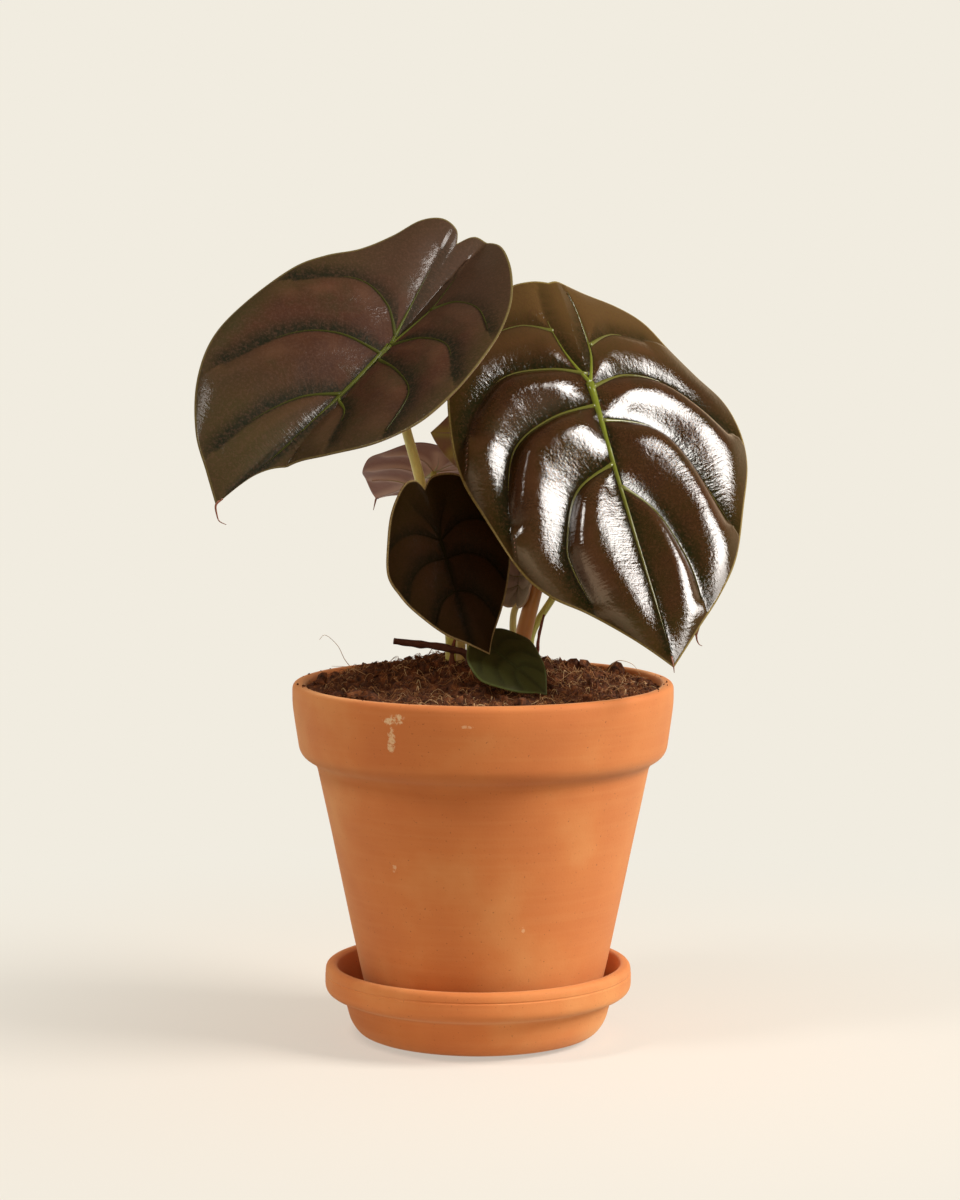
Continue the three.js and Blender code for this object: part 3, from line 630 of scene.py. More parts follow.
leaves = {
    "left": {
        "length": 150, "navel": (-34, -18, 273.5), "heading": 225, "dip": 38, "roll": -32,
        "tipBend": 0.15, "tipCurl": 0.6, "baseBend": 0.15, "midribDepth": 0.5, "lean": 0.5,
        "fold": (0.4, 0.6), "dome": (1.15, 0.63), "pillow": 2.4, "veinWidth": 7,
        "around": 440, "rings": 76, "stem": (2.6, 1.7),
        "halves": [
            [(8, -57), (12, -62), (19, -62), (25, -55), (29, -42), (35, -28), (43, -17), (50, -4),
             (55, 18), (55, 40), (48, 60), (35, 78), (22, 89), (12, 97)],
            [(8, -57), (4, -66), (-8, -65), (-23, -53), (-35, -39), (-43, -25), (-49, -6), (-51, 15),
             (-48, 32), (-42, 43), (-32, 53), (-17, 61), (-2, 67), (7, 78), (12, 97)],
        ],
        "veins": [
            [(0, 0), (2, 33), (5, 62), (10, 92)],
            [(0, 0), (6, -27), (11, -50)],
            [(0, 0), (-5, -22), (-2, -44)],
            [(0, -4), (12, -14), (28, -15), (47, 1)],
            [(0, 5), (19, 10), (33, 23), (45, 49)],
            [(2, 30), (13, 42), (21, 61), (25, 81)],
            [(-5, -22), (-15, -27), (-29, -24), (-42, -13)],
            [(0, 0), (-14, -5), (-30, -2), (-45, 14)],
            [(0, 8), (-16, 14), (-31, 25), (-35, 45)],
            [(2, 32), (-8, 39), (-13, 54)],
        ],
        "path": [(-10.5, 7, 158), (-15, 4, 185), (-22.7, -2, 221), (-28.4, -8, 243)],
        "drip": [(0.3, -0.2, -3.5), (1.2, -0.4, -6), (3.9, -0.6, -7.4)],
    },
    "right": {
        "length": 166, "navel": (43.3, -8, 259), "heading": -62, "dip": 56, "roll": 2,
        "tipBend": 0.04, "tipCurl": 0.5, "baseBend": 0.44, "twist": 0.36,
        "fold": (-0.14, -0.16), "dome": (0.3, 0.35), "pillow": 2.9, "veinWidth": 3.9, "grooveWidth": 8,
        "edgeWave": 0.8, "lean": 1, "lobeCalm": 0.35, "ridge": (1.3, 6.5, 2),
        "around": 440, "rings": 76, "stem": (3.5, 1.9),
        "halves": [
            [(3, -47.5), (10, -49), (20, -47), (34, -39), (47, -25), (56, -8), (60, 12), (60, 30),
             (56, 46), (48, 71), (39, 84), (27, 94), (12, 109), (0, 122)],
            [(3, -47.5), (-5, -49), (-17, -46), (-30, -42), (-41, -35), (-49, -23), (-59, -11),
             (-68, 1), (-69, 15), (-64, 35), (-54, 55), (-40, 79), (-27, 95), (-15, 107), (0, 122)],
        ],
        "veins": [
            [(0, 0), (1, 40), (1, 80), (0, 118)],
            [(0, 0), (6, -14), (9, -30), (8, -45)],
            [(0, 0), (-5, -14), (-6, -32), (-5, -44)],
            [(8, -25), (20, -29), (32, -27)],
            [(0, -4), (14, -8), (34, -7), (50, 7), (54, 15)],
            [(0, 10), (20, 13), (37, 23), (45, 43), (47, 56)],
            [(1, 36), (18, 45), (27, 64), (28, 75), (24, 93)],
            [(-6, -18), (-20, -25), (-36, -24)],
            [(0, 2), (-20, -5), (-40, -1), (-61, 20)],
            [(0, 17), (-21, 19), (-34, 33), (-43, 64)],
            [(1, 46), (-11, 58), (-18, 79), (-19, 97)],
        ],
        "path": [(17.5, 1.5, 157), (22.6, 3, 178), (29, 5, 205), (37, 3, 235)],
        "drip": [(0.1, 0, -1), (0.2, 0.1, -2)],
    },
    "centre": {
        "length": 72, "navel": (-14.4, -34, 200.1), "heading": -32, "dip": 70, "roll": 42,
        "fold": (0.12, 0.12), "dome": (0.6, 0.6), "pillow": 1.6, "veinWidth": 5,
        "around": 260, "rings": 46, "stem": (2, 1.3),
        "halves": [
            [(0, -21), (3, -25), (8, -24), (15, -16), (20, -6), (24, 7), (22, 16), (18, 24), (9, 35),
             (0, 42), (-6, 47)],
            [(0, -21), (-5, -25), (-14, -23), (-21, -14), (-25, 0), (-25, 12), (-21, 22), (-15, 32),
             (-9, 41), (-6, 47)],
        ],
        "path": [(-6.8, 1, 160), (-8, -5, 174), (-11, -17, 190)],
    },
    "back": {
        "length": 66, "navel": (-17.7, 32, 222), "heading": 125, "dip": 24, "roll": 20,
        "tipBend": -0.5, "tipCurl": 1, "baseBend": 0,
        "fold": (0.26, 0.17), "dome": (0.6, 0.8), "pillow": 1.4, "veinWidth": 4,
        "around": 220, "rings": 34, "stem": (1.7, 1.2),
        "path": [(-9, 17.5, 160), (-11, 22, 185), (-15, 29, 206)],
        "drip": [(-0.6, 0.2, -2.2), (-1.2, 0.3, -4.8)],
    },
    "hidden": {
        "length": 54, "navel": (14, 15, 237), "heading": -152, "dip": -6, "roll": 69,
        "tipBend": 0.2, "tipCurl": 0.4,
        "fold": (0.15, 0.15), "dome": (0.6, 0.6), "pillow": 1.4, "veinWidth": 4,
        "around": 200, "rings": 30, "stem": (1.7, 1.2),
        "path": [(-3, 13, 160), (-1, 12, 185), (5, 10, 215)],
    },
    "rear": {
        "length": 98, "navel": (65, 36, 222), "heading": -19, "dip": 65, "roll": -38,
        "tipBend": 0.2, "tipCurl": 0.4, "edgeWave": 0.8,
        "fold": (0.1, 0.1), "dome": (0.7, 0.7), "pillow": 2.4, "veinWidth": 6,
        "around": 260, "rings": 42, "stem": (1.6, 1.2),
        "path": [(21, 11, 158), (29, 14.5, 172), (42, 22, 190), (54, 31, 207)],
        "drip": [(0.3, 0, -1.6), (1.2, 0, -3.2), (2.4, 0, -3.8)],
    },
    "bud": {
        "length": 32, "navel": (16, 6, 179), "heading": 59, "dip": -76, "roll": 3,
        "fold": (0.7, 0.7), "dome": (0.4, 0.4), "pillow": 0.8, "veinWidth": 3, "edgeWave": 0.3,
        "around": 160, "rings": 22, "stem": (1.6, 1.2),
        "path": [(13.8, 8.2, 158), (14.2, 8, 168)],
    },
    "low": {
        "length": 35, "wide": 1.15, "navel": (7.6, -30.5, 156.2), "heading": -24, "dip": 34, "roll": 30,
        "fold": (0.1, 0.1), "dome": (0.6, 0.6), "pillow": 0.5, "veinWidth": 3, "edgeWave": 0.3,
        "around": 180, "rings": 24, "stem": (1.5, 1.1),
        "path": [(10.5, -15, 151.5), (10.2, -22, 154)],
    },
}

bladeDetail = {
    "ringCrowding": 0.85,  # below 1, rings lie closer towards the margin
    "pillowFade": 6,  # how late the pillows flatten at the margin
    "edgeWaves": 7,
    "navelSwell": 0.6,  # how much thicker a vein starts, and over how many mm that goes
    "navelReach": 9,
    "dripRoot": 0.965,  # where the tip's thread leaves the blade, as a share of the way to the tip
    "dripRadius": 0.55, "dripSteps": 22, "dripSides": 8,
    "middle": 0.9,  # thickness in mm over the blade, and at its margin
    "margin": 0.4,
    "crease": 0.5,  # how round the bottom of a vein's groove is, in mm
    "spread": 1.25,  # how far the pillows' flanks reach, over the leaf's veinWidth
    "plump": 1.85,  # the pillows' rise over the leaf's own value
    "calmSpan": (-0.2, 0.1),  # where the lobes' lower pillows give way to full ones, along the blade
    "ridgeClimb": (-0.08, -0.28),  # where the ridge at the notch rises, along the blade
    "grooveCore": 0.05,  # the share of a groove's width that is darkest
    # A crest's brightness is painted light; a groove's extra dark width on a vein's base side is painted
    # shade.
    "crestAt": 0.9, "crestSpread": 0.6,  # where a crest is brightest and how far it spreads, in vein widths
    "crestFade": 4,  # mm over which a crest fades out where two veins are equally near
    "grooveShadeReach": (1.2, 0.6, 0.2),  # dark width on a vein's base side, on the midrib, tip side
    "farGap": 60,  # mm, for a pillow with no vein on one side
    "rimOut": 0.12,  # mm that the very margin stands out, which rounds it
    "puckers": [(7, 0.1, 41), (3, 0.03, 42)],  # size and height in mm, and seed
    "veinApart": 400,  # keeps the grain of one vein's side apart from the next one's
    "midribHalf": 0.0075, "lateralHalf": 0.0042,  # half a vein's width at its start, over the leaf's length
    "veinEnd": 0.965,  # where a vein stops at the latest, as a share of the way to the margin
    "nearMiddle": 15,  # mm; a vein that ends nearer the middle has the midrib's green from its start
    "greenFrom": 0.45,  # and the others start this far along its change of colour
    "veinSides": 10, "veinThinner": 0.75, "veinFade": (1.02, 0.8),
    "traceLift": (0.4, 0.7), "keelLift": (0.45, 1.0),  # mm, and share of the vein's half width
}


def bladeOutline(leaf):
    halves = leaf.get("halves")
    if not halves:
        size, wide = leaf["length"], leaf["length"] * leaf["wide"]
        halves = [[(side * u * wide, v * size) for u, v in heartHalf] for side in (1, -1)]
    sides = [evenly(splineThrough(half, 30), leaf["around"] // 2 + 1) for half in halves]
    return np.vstack([sides[0][:-1], sides[1][:0:-1]])


def bladeVeins(leaf):
    veins = leaf.get("veins")
    if not veins:
        size = leaf["length"]
        sides = [[(side * u * size, v * size) for u, v in vein] for side in (1, -1) for vein in heartVeinHalf]
        veins = [[(0, 0), (0, 0.35 * size), (0, 0.7 * size)], *sides]
    return [evenly(splineThrough(vein, 12), 40) for vein in veins]


# Distance from points of the flat blade to one vein, the least over the vein's short straight pieces, how
# far along the vein that nearest place is, and which side of it: 1 towards the tip, -1 towards the base.
def distanceTo(u, v, vein):
    here = np.stack([u, v], axis=-1)
    nearest = np.full(u.shape, np.inf)
    place, side = np.zeros(u.shape), np.zeros(u.shape)
    outwards = np.sign(vein[-1, 0] - vein[0, 0])
    passed = 0.0
    for a, b in zip(vein[:-1:2], vein[2::2]):
        along = b - a
        size = np.linalg.norm(along)
        share = np.clip(((here - a) @ along) / size**2, 0, 1)
        away = np.linalg.norm(here - a - share[..., None] * along, axis=-1)
        closer = away < nearest
        place = np.where(closer, passed + share * size, place)
        side = np.where(closer, outwards * np.sign(along[0] * (v - a[1]) - along[1] * (u - a[0])), side)
        nearest = np.minimum(nearest, away)
        passed += size
    return nearest, place, side


# A vein run on past the margin, so that every place near its end is on one side of it.
def runOn(vein):
    return np.vstack([vein, vein[-1] + (vein[-1] - vein[-3]) * 8])


# The midrib turns down by bend * s + curl * s^4, where s is the way along it over the leaf's length.
def alongMidrib(distance, length, bend, curl):
    table = np.linspace(0, 1.1, 600)
    angle = bend * table + curl * table**4
    step = length * (table[1] - table[0])
    ahead = np.concatenate([[0], np.cumsum((np.cos(angle[1:]) + np.cos(angle[:-1])) / 2 * step)])
    down = np.concatenate([[0], np.cumsum((np.sin(angle[1:]) + np.sin(angle[:-1])) / 2 * step)])
    s = distance / length
    return np.interp(s, table, ahead), np.interp(s, table, down), bend * s + curl * s**4


# Takes a point of the flat blade, h above it, to the bent one: each half leaves the midrib at its fold
# angle and droops by dome / length for each millimetre, and the blade turns about the midrib by twist.
def bentPoints(u, v, h, leaf):
    length = leaf["length"]
    tipwards = v >= 0
    ahead, down, angle = alongMidrib(np.abs(v), length, leaf["tipBend"], leaf["tipCurl"])
    back, sunk, lean = alongMidrib(np.abs(v), length, leaf["baseBend"], 0)
    ahead, down = np.where(tipwards, ahead, -back), np.where(tipwards, down, sunk)
    slope = np.where(tipwards, -angle, lean)
    fold = np.where(u >= 0, leaf["fold"][0], leaf["fold"][1])
    droop = np.where(u >= 0, leaf["dome"][0], leaf["dome"][1]) / length
    tilt = fold - droop * np.abs(u)
    across = np.where(u >= 0, 1, -1) * ((np.sin(fold) - np.sin(tilt)) / droop - h * np.sin(tilt))
    lift = (np.cos(tilt) - np.cos(fold)) / droop + h * np.cos(tilt)
    turn = leaf["twist"] * v / length
    x = across * np.cos(turn) + lift * np.sin(turn)
    height = lift * np.cos(turn) - across * np.sin(turn)
    return np.stack([x, ahead - height * np.sin(slope), -down + height * np.cos(slope)], axis=-1)


# The blade's own axes: side across it, tip along the midrib, up out of its upper face.
def bladeAxes(leaf):
    heading, dip, roll = (math.radians(leaf[k]) for k in ("heading", "dip", "roll"))
    tip = np.array([math.cos(heading) * math.cos(dip), math.sin(heading) * math.cos(dip), -math.sin(dip)])
    level = np.array([math.sin(heading), -math.cos(heading), 0])
    side = level * math.cos(roll) + np.cross(tip, level) * math.sin(roll)
    return side, tip, np.cross(side, tip)


def inPlace(points, leaf):
    side, tip, up = bladeAxes(leaf)
    return np.asarray(leaf["navel"]) + points @ np.array([side, tip, up])


# Height of the blade's middle: pillows between the veins, which rise from each vein as
# 1 - depth * exp(-distance / width), lean towards the base and sink at the margin, fine puckers, a margin
# that waves a little and, on one leaf, a folded ridge up to the notch. The numbers for the skin come with
# it: the distance to the nearest vein, how much further the next one is, a number that grows along the
# vein, how dark its groove makes the skin, which is the leaf's own dark green by the vein and, wider on
# the side towards the base, painted shade of the flank that falls to the vein there, and how bright the
# painted light is on the crest just off the vein on its tip side. A pillow's lean is 1 at its base side
# and -1 at its tip side, by the distances to the veins on either side of it.
def bladeRelief(u, v, share, turn, leaf, veins):
    nearest = second = np.full(u.shape, 1e3)
    flow = side = np.zeros(u.shape)
    swell, bottom = 1, bladeDetail["crease"]
    ribSide = np.sign(u - np.interp(v, veins[0][:, 1], veins[0][:, 0]))
    ribGap = distanceTo(u, v, veins[0])[0]
    baseGap = tipGap = np.full(u.shape, bladeDetail["farGap"])
    for vein in veins[1:]:
        away, _, beside = distanceTo(u, v, runOn(vein))
        beside = np.where(ribSide == np.sign(vein[-1, 0] - vein[0, 0]), beside, 0)
        baseGap = np.where(beside > 0, np.minimum(baseGap, away), baseGap)
        tipGap = np.where(beside < 0, np.minimum(tipGap, away), tipGap)
    tipGap = np.where(tipGap < bladeDetail["farGap"], tipGap, ribGap)
    lean = 1 + leaf["lean"] * (1 - 2 * baseGap / (baseGap + tipGap + 1e-6))
    for i, vein in enumerate(veins):
        away, place, beside = distanceTo(u, v, vein)
        closer = away < nearest
        flow = np.where(closer, place + i * bladeDetail["veinApart"], flow)
        side = np.where(closer, beside if i else 0, side)
        second = np.minimum(second, np.maximum(away, nearest))
        nearest = np.minimum(nearest, away)
        soft = np.sqrt(away**2 + bottom**2) - bottom
        depth = 1 if i else leaf["midribDepth"]
        swell = swell * (1 - depth * np.exp(-soft / (bladeDetail["spread"] * leaf["veinWidth"])))
    fade = 1 - share ** bladeDetail["pillowFade"]
    along = v / leaf["length"]
    calm = leaf["lobeCalm"] + (1 - leaf["lobeCalm"]) * smoothStep(along, *bladeDetail["calmSpan"])
    flat = np.stack([u, v], axis=-1)
    puckers = sum(high * lumps(flat, wide, seed) for wide, high, seed in bladeDetail["puckers"])
    height = bladeDetail["plump"] * leaf["pillow"] * swell * lean * fade * calm + puckers * fade
    height = height + leaf["edgeWave"] * share**3 * np.sin(bladeDetail["edgeWaves"] * turn)
    if "ridge" in leaf:
        high, wide, middle = leaf["ridge"]
        climb = smoothStep(along, *bladeDetail["ridgeClimb"])
        height = height + high * climb * np.exp(-((u - middle) / wide) ** 2)
    # The dark groove is the leaf's own dark green by each vein, made wider on the vein's base side by painted
    # shade.
    grooveWidth = leaf.get("grooveWidth", leaf["veinWidth"])
    baseReach, midribReach, tipReach = np.array(bladeDetail["grooveShadeReach"]) * grooveWidth
    reach = np.where(side < 0, baseReach, np.where(side > 0, tipReach, midribReach))
    # The crest's brightness is painted light on the flank just off each vein on its tip side.
    offCrest = (nearest / grooveWidth - bladeDetail["crestAt"]) / bladeDetail["crestSpread"]
    paintedLitCrest = np.where(side > 0, np.exp(-(offCrest**2)), 0)
    return height, {
        "veinGap": nearest, "seamGap": second - nearest, "flow": flow,
        "grooveAndShade": 1 - smoothStep(nearest, bladeDetail["grooveCore"] * reach, reach),
        "paintedLitCrest": paintedLitCrest * smoothStep(second - nearest, 0, bladeDetail["crestFade"]),
    }


# Both faces have the same rings, from the navel out to the margin and back, and one more ring stands out
# between them at the margin itself.
def bladeSkin(leaf, veins, outline):
    columns = len(outline)
    top = (np.arange(1, leaf["rings"] + 1) / leaf["rings"]) ** bladeDetail["ringCrowding"]
    share = np.concatenate([top, [1.0], top[::-1]])[:, None]
    upper = np.concatenate([np.ones(len(top)), [0], -np.ones(len(top))])[:, None]
    u, v = outline[:, 0] * share, outline[:, 1] * share
    turn = np.broadcast_to(2 * np.pi * np.arange(columns) / columns, u.shape)
    relief, numbers = bladeRelief(u, v, np.broadcast_to(share, u.shape), turn, leaf, veins)
    thick = bladeDetail["margin"] + (bladeDetail["middle"] - bladeDetail["margin"]) * (1 - share**8)
    size = np.linalg.norm(outline, axis=1)
    rimOut = np.where(upper == 0, bladeDetail["rimOut"], 0)
    u = u + outline[:, 0] / size * rimOut
    v = v + outline[:, 1] / size * rimOut
    pole = bentPoints(np.zeros(2), np.zeros(2), np.array([0.5, -0.5]) * bladeDetail["middle"], leaf)
    points, faces = skinOver(bentPoints(u, v, relief + upper * thick / 2, leaf), *pole)
    faces = [face[::-1] for face in faces]  # the rings turn the other way from a turned shape's
    numbers["along"] = v / leaf["length"]
    numbers = {key: np.concatenate([values.ravel(), [0, 0]]) for key, values in numbers.items()}
    numbers["rimGap"] = np.concatenate([((1 - share) * size).ravel(), [size.mean()] * 2])
    rowOf = np.concatenate([np.repeat(np.arange(len(share) - 1), columns), np.zeros(columns, int),
                            np.full(columns, len(share))])
    return points, faces, numbers, (rowOf >= len(top)).astype(int)


# A vein runs through the blade from face to face: an oval tube along its line, a trace proud in the
# groove above and a rounded keel below, thinning to nothing at its end.
def veinSkin(vein, leaf, veins, wide, outline):
    s = np.linspace(0, 1, len(vein))
    size = np.linalg.norm(np.diff(vein, axis=0), axis=1).sum()
    reach = outlineShare(vein[:, 0], vein[:, 1], outline)
    keep = reach < bladeDetail["veinEnd"]
    line, s, reach = vein[keep], s[keep], reach[keep]
    u, v = line[:, 0], line[:, 1]
    tangent = np.gradient(line, axis=0)
    tangent /= np.linalg.norm(tangent, axis=1)[:, None]
    swollen = 1 + bladeDetail["navelSwell"] * np.exp(-s * size / bladeDetail["navelReach"])
    fade = smoothStep(s, *(s[-1] * np.array(bladeDetail["veinFade"])))
    half = (wide * (1 - bladeDetail["veinThinner"] * s / s[-1]) * swollen * fade)[:, None]
    height = bladeRelief(u, v, reach, np.zeros(len(u)), {**leaf, "edgeWave": 0}, veins)[0]
    angle = np.linspace(0, 2 * np.pi, bladeDetail["veinSides"], endpoint=False)
    (trace, traceWide), (keel, keelWide) = bladeDetail["traceLift"], bladeDetail["keelLift"]
    lift = (trace + traceWide * half) * np.maximum(np.sin(angle), 0)
    lift = lift + (keel + keelWide * half) * np.minimum(np.sin(angle), 0)
    across = half * np.cos(angle)
    rings = bentPoints(u[:, None] + tangent[:, 1:] * across, v[:, None] - tangent[:, :1] * across,
                       height[:, None] + lift, leaf)
    points, faces = skinOver(rings[:, ::-1], rings[0].mean(0), rings[-1].mean(0))
    underColumn = np.sin(angle[::-1]) + np.sin(np.roll(angle[::-1], -1)) < 0
    finish = np.tile(underColumn, len(u) + 1).astype(int)
    along = np.concatenate([np.repeat(s, len(angle)), [0, 1]])
    return points, faces, along, finish


# The tip's dark thread: a tube that leaves the blade a little before its tip, hangs over the points given
# from the tip and thins to a hair.
def dripSkin(leaf, outline):
    tip = outline[len(outline) // 2]
    spots = np.array([tip * bladeDetail["dripRoot"], tip])
    root, tip = inPlace(bentPoints(spots[:, 0], spots[:, 1], np.zeros(2), leaf), leaf)
    line = evenly(splineThrough([root, tip, *(tip + leaf["drip"])], 10, 0.5), bladeDetail["dripSteps"])
    radius = bladeDetail["dripRadius"] * np.linspace(1, 0.2, len(line))[:, None]
    return tubeSkin(line, radius, np.linspace(0, 2 * np.pi, bladeDetail["dripSides"], endpoint=False))


# How far out a point is: its distance from the navel over the outline's distance in that direction.
def outlineShare(u, v, outline):
    angle = np.arctan2(outline[:, 1], outline[:, 0])
    order = np.argsort(angle)
    size = np.linalg.norm(outline, axis=1)[order]
    angle = angle[order]
    angle = np.concatenate([angle - 2 * np.pi, angle, angle + 2 * np.pi])
    return np.hypot(u, v) / np.interp(np.arctan2(v, u), angle, np.tile(size, 3))


# The upper skin of a copper alocasia leaf: dark green along the vein grooves, widened on each vein's base
# side by painted shade of the flank that falls to it; copper to plum brown on the pillows, with painted
# light on their crests just off each vein on its tip side; olive out at the margin and paler olive on the
# lobes, both partly their own colour and partly painted light shining through the thin blade. It is all
# under a hard wax that dulls towards the margin and on the lobes. Its grain runs across from vein to vein,
# so highlights break up into short streaks; a thin pale line follows the margin, partly its own paler
# edge and partly painted light through it.
copper = {
    "noises": {
        "patches": (15, 3, 0.5), "speckles": (1.1, 4, 0.75), "grain": (1.5, 4, 0.62), "sheen": (3, 3, 0.5),
    },
    "numbers": ["veinGap", "rimGap", "seamGap", "flow", "grooveAndShade", "paintedLitCrest", "along"],
    "masks": {
        "clear": ("seamGap", 0.5, 5), "patchy": ("patches", 0.34, 0.66, 0, 0.7),
        # outer, lobe and rim are partly the leaf's own olive and pale margin and partly painted light shining
        # through the thin blade.
        "outer": ("rimGap", 16, 2, 0, 0.6), "lobe": ("along", 0, -0.25, 0, 0.85), "rim": ("rimGap", 1, 0.3),
        "speckle": ("speckles", 0.45, 0.65, 0, 0.4), "dull": ("rimGap", 9, 1.5, 0, 0.65),
    },
    "stops": [(0.3, "plum"), (0.5, "copper"), (0.7, "olive")],
    "streaks": [(2.2, 12), (0.8, 6)],  # their length in mm along the vein and away from it
    "tipSpan": (0.1, 0.5),  # where the green of the tip starts and is full, along the blade
    "ragged": (1.2, 0.4), "onLobes": (-0.7, 1), "grooveMost": 0.96,
    "roughSpread": 0.05, "bumpDepth": 0.3,
}


def copperSkin(name, look):
    noises = {"cloud": (look["cloud"], 4, 0.6), **copper["noises"]}
    material, add, value = newMaterial(name, {**copper, "noises": noises})
    streaks = []
    for apart, reach in copper["streaks"]:
        flow = add("Math", [value["flow"], apart], operation="DIVIDE")
        across = add("Math", [value["veinGap"], reach], operation="DIVIDE")
        streak = add("TexNoise", {"Vector": add("CombineXYZ", [flow, across]), "Scale": 1, "Detail": 2})
        streaks.append(add("Mix", {0: value["clear"], 2: 0.5, 3: streak}))
    tip = add("MapRange", [value["along"], *copper["tipSpan"], 0, look["greenTip"]], **eased)
    ragged = add("Math", [streaks[0], *copper["ragged"]], **timesPlus)
    weaker = add("Math", [value["lobe"], *copper["onLobes"]], **timesPlus)
    grooveAndShade = add("Math", [add("Math", [value["grooveAndShade"], ragged], **times), weaker], **times)
    value["grooveAndShade"] = add("Math", [grooveAndShade, copper["grooveMost"]], operation="MINIMUM")
    value["paintedLitCrest"] = add("Math", [value["paintedLitCrest"], value["patchy"]], **times)
    value["outer"] = add("Math", [value["outer"], tip], operation="MAXIMUM")
    stops = [(place, look[key]) for place, key in copper["stops"]]
    colour = add("ValToRGB", [value["cloud"]], stops=stops)
    # Mixed in, in turn: painted light on the crests; the olive margin and tip and the olive lobes, partly
    # painted light through the thin blade; the groove's dark green, widened by painted shade; the pale margin
    # line, partly painted light through the edge; and the speckles.
    for key in ("paintedLitCrest", "outer", "lobe", "grooveAndShade", "rim", "speckle"):
        colour = add("Mix", {0: value[key], 6: colour, 7: linear(look[key])}, **coloured)
    height = value["grain"]
    for streak in reversed(streaks):
        height = add("Math", [streak, look["ribs"], height], **timesPlus)
    bump = add("Bump", {"Strength": look["grain"], "Distance": copper["bumpDepth"] * mm, "Height": height})
    lowest, highest = look["rough"] - copper["roughSpread"], look["rough"] + copper["roughSpread"]
    rough = add("MapRange", [value["sheen"], 0, 1, lowest, highest])
    dullLobe = add("Math", [value["lobe"], look["dullLobe"]], **times)
    dull = add("Math", [value["dull"], dullLobe], operation="MAXIMUM")
    finishWith(add, {
        "Base Color": colour, "Roughness": rough, "Specular IOR Level": look["shine"],
        "Coat Weight": add("Math", [dull, -look["coat"], look["coat"]], **timesPlus),
        "Coat Roughness": look["coatRough"], "Coat IOR": look["coatIor"],
        "Normal": bump, "Coat Normal": bump,
    })
    return material


# The lower skin: matt plum pink between paler ribs.
plum = {
    "noises": {"mottle": (2.5, 4, 0.5), "grit": (0.8, 3, 0.5)},
    "numbers": ["veinGap"],
    "masks": {"between": ("veinGap", 0.3, 4.5)},
    "mottled": 0.35,
}


def plumSkin(name, between, nearVein):
    material, add, value = newMaterial(name, plum)
    colour = add("Mix", {0: value["between"], 6: linear(nearVein), 7: linear(between)}, **coloured)
    mottled = add("Math", [value["mottle"], plum["mottled"]], **times)
    colour = add("Mix", {0: mottled, 6: colour, 7: linear(nearVein)}, **coloured)
    bump = add("Bump", {"Strength": 0.4, "Distance": 0.1 * mm, "Height": value["grit"]})
    finishWith(add, {"Base Color": colour, "Roughness": 0.6, "Normal": bump})
    return material


# A rib or vein: juicy green, darker or paler towards its end.
rib = {"numbers": ["along"], "masks": {"far": ("along", 0.05, 0.75)}}


def ribSkin(name, start, end, shine, gloss):
    material, add, value = newMaterial(name, rib)
    colour = add("Mix", {0: value["far"], 6: linear(start), 7: linear(end)}, **coloured)
    finishWith(add, {
        "Base Color": colour, "Roughness": 0.5, "Specular IOR Level": shine,
        "Coat Weight": gloss, "Coat Roughness": 0.08, "Coat IOR": 1.6,
    })
    return material


# What most looks share. Cloud is the size of the colour's patches in mm, greenTip and dullLobe say how
# green the tip and how dull the lobes are, grain is how strong the fine bumps are, and ribs how high the
# streaks across from vein to vein stand in them.
plainLook = {
    "greenTip": 0, "dullLobe": 0.6, "rough": 0.5, "shine": 0, "coatRough": 0.3, "coatIor": 1.5,
    "grain": 0.5, "ribs": 0.3, "cloud": 9,
}

# The order of a look's colours in leafLooks.
# Of these, the crest colour is painted light, the groove colour's wide base side is painted shade, and outer,
# lobe and rim are partly painted light shining through the thin blade.
lookColours = ("plum", "copper", "olive", "paintedLitCrest", "outer", "lobe", "grooveAndShade", "rim", "speckle")

leafLooks = {
    "glossy": (
        "#321d10 #362310 #2b230b #482d1a #3a2e10 #5a4426 #161805 #857544 #4d3322",
        {"cloud": 24, "rough": 0.55, "coat": 1, "coatRough": 0.05, "coatIor": 1.62, "grain": 0.4,
         "ribs": 0.5},
    ),
    "satin": (
        "#35201a #42281a #332c17 #573a29 #3b361b #402f22 #151809 #6a5f3a #553d30",
        {"cloud": 26, "greenTip": 0.7, "dullLobe": 0, "rough": 0.55, "shine": 0.1, "coat": 0.36,
         "coatRough": 0.08, "grain": 0.34, "ribs": 0.8},
    ),
    # The centre leaf's look is painted shade: the copper skin made much darker and nearly without wax, for
    # the shade it hangs in.
    "dark": (
        "#22170d #2a1a0e #1f1809 #2c1b0d #261b0b #261b0b #161209 #8c7a55 #2c1d13",
        {"cloud": 14, "rough": 0.55, "coat": 0.03, "coatRough": 0.2, "ribs": 0.4},
    ),
    "green": (
        "#2c2e11 #303313 #353716 #353716 #3a3c18 #35371a #282a0e #4c5628 #363f1a",
        {"shine": 0.2, "coat": 0.1},
    ),
    # The bud's grey mauve is a painted sheen: the pale reflection on its dark upper skin, put into its
    # colour.
    "paintedSheen": (
        "#9a8a86 #a3938c #9a9686 #a99993 #9a9686 #9a9686 #7b7564 #c8baa0 #a99993",
        {"shine": 0.4, "coat": 0.2},
    ),
}

leafFinish = {
    "left": ("satin", "#4e541c", "#33350f"),
    "right": ("glossy", "#6c7626", "#5a582a"),
    # The centre leaf's near-black veins are painted shade, like its dark look.
    "centre": ("dark", "#1a1608", "#171107"),
    "back": ("satin", "#5f6b24", "#39401c"),
    "hidden": ("satin", "#6f7c2c", "#39401c"),
    "rear": ("satin", "#5f6b24", "#39401c"),
    "bud": ("paintedSheen", "#5f6b24", "#39401c"),
    "low": ("green", "#303c16", "#2c3814"),
}

underColours = {"low": ("#5a6430", "#7f8a50"), "hidden": ("#96705a", "#b8ac5c")}


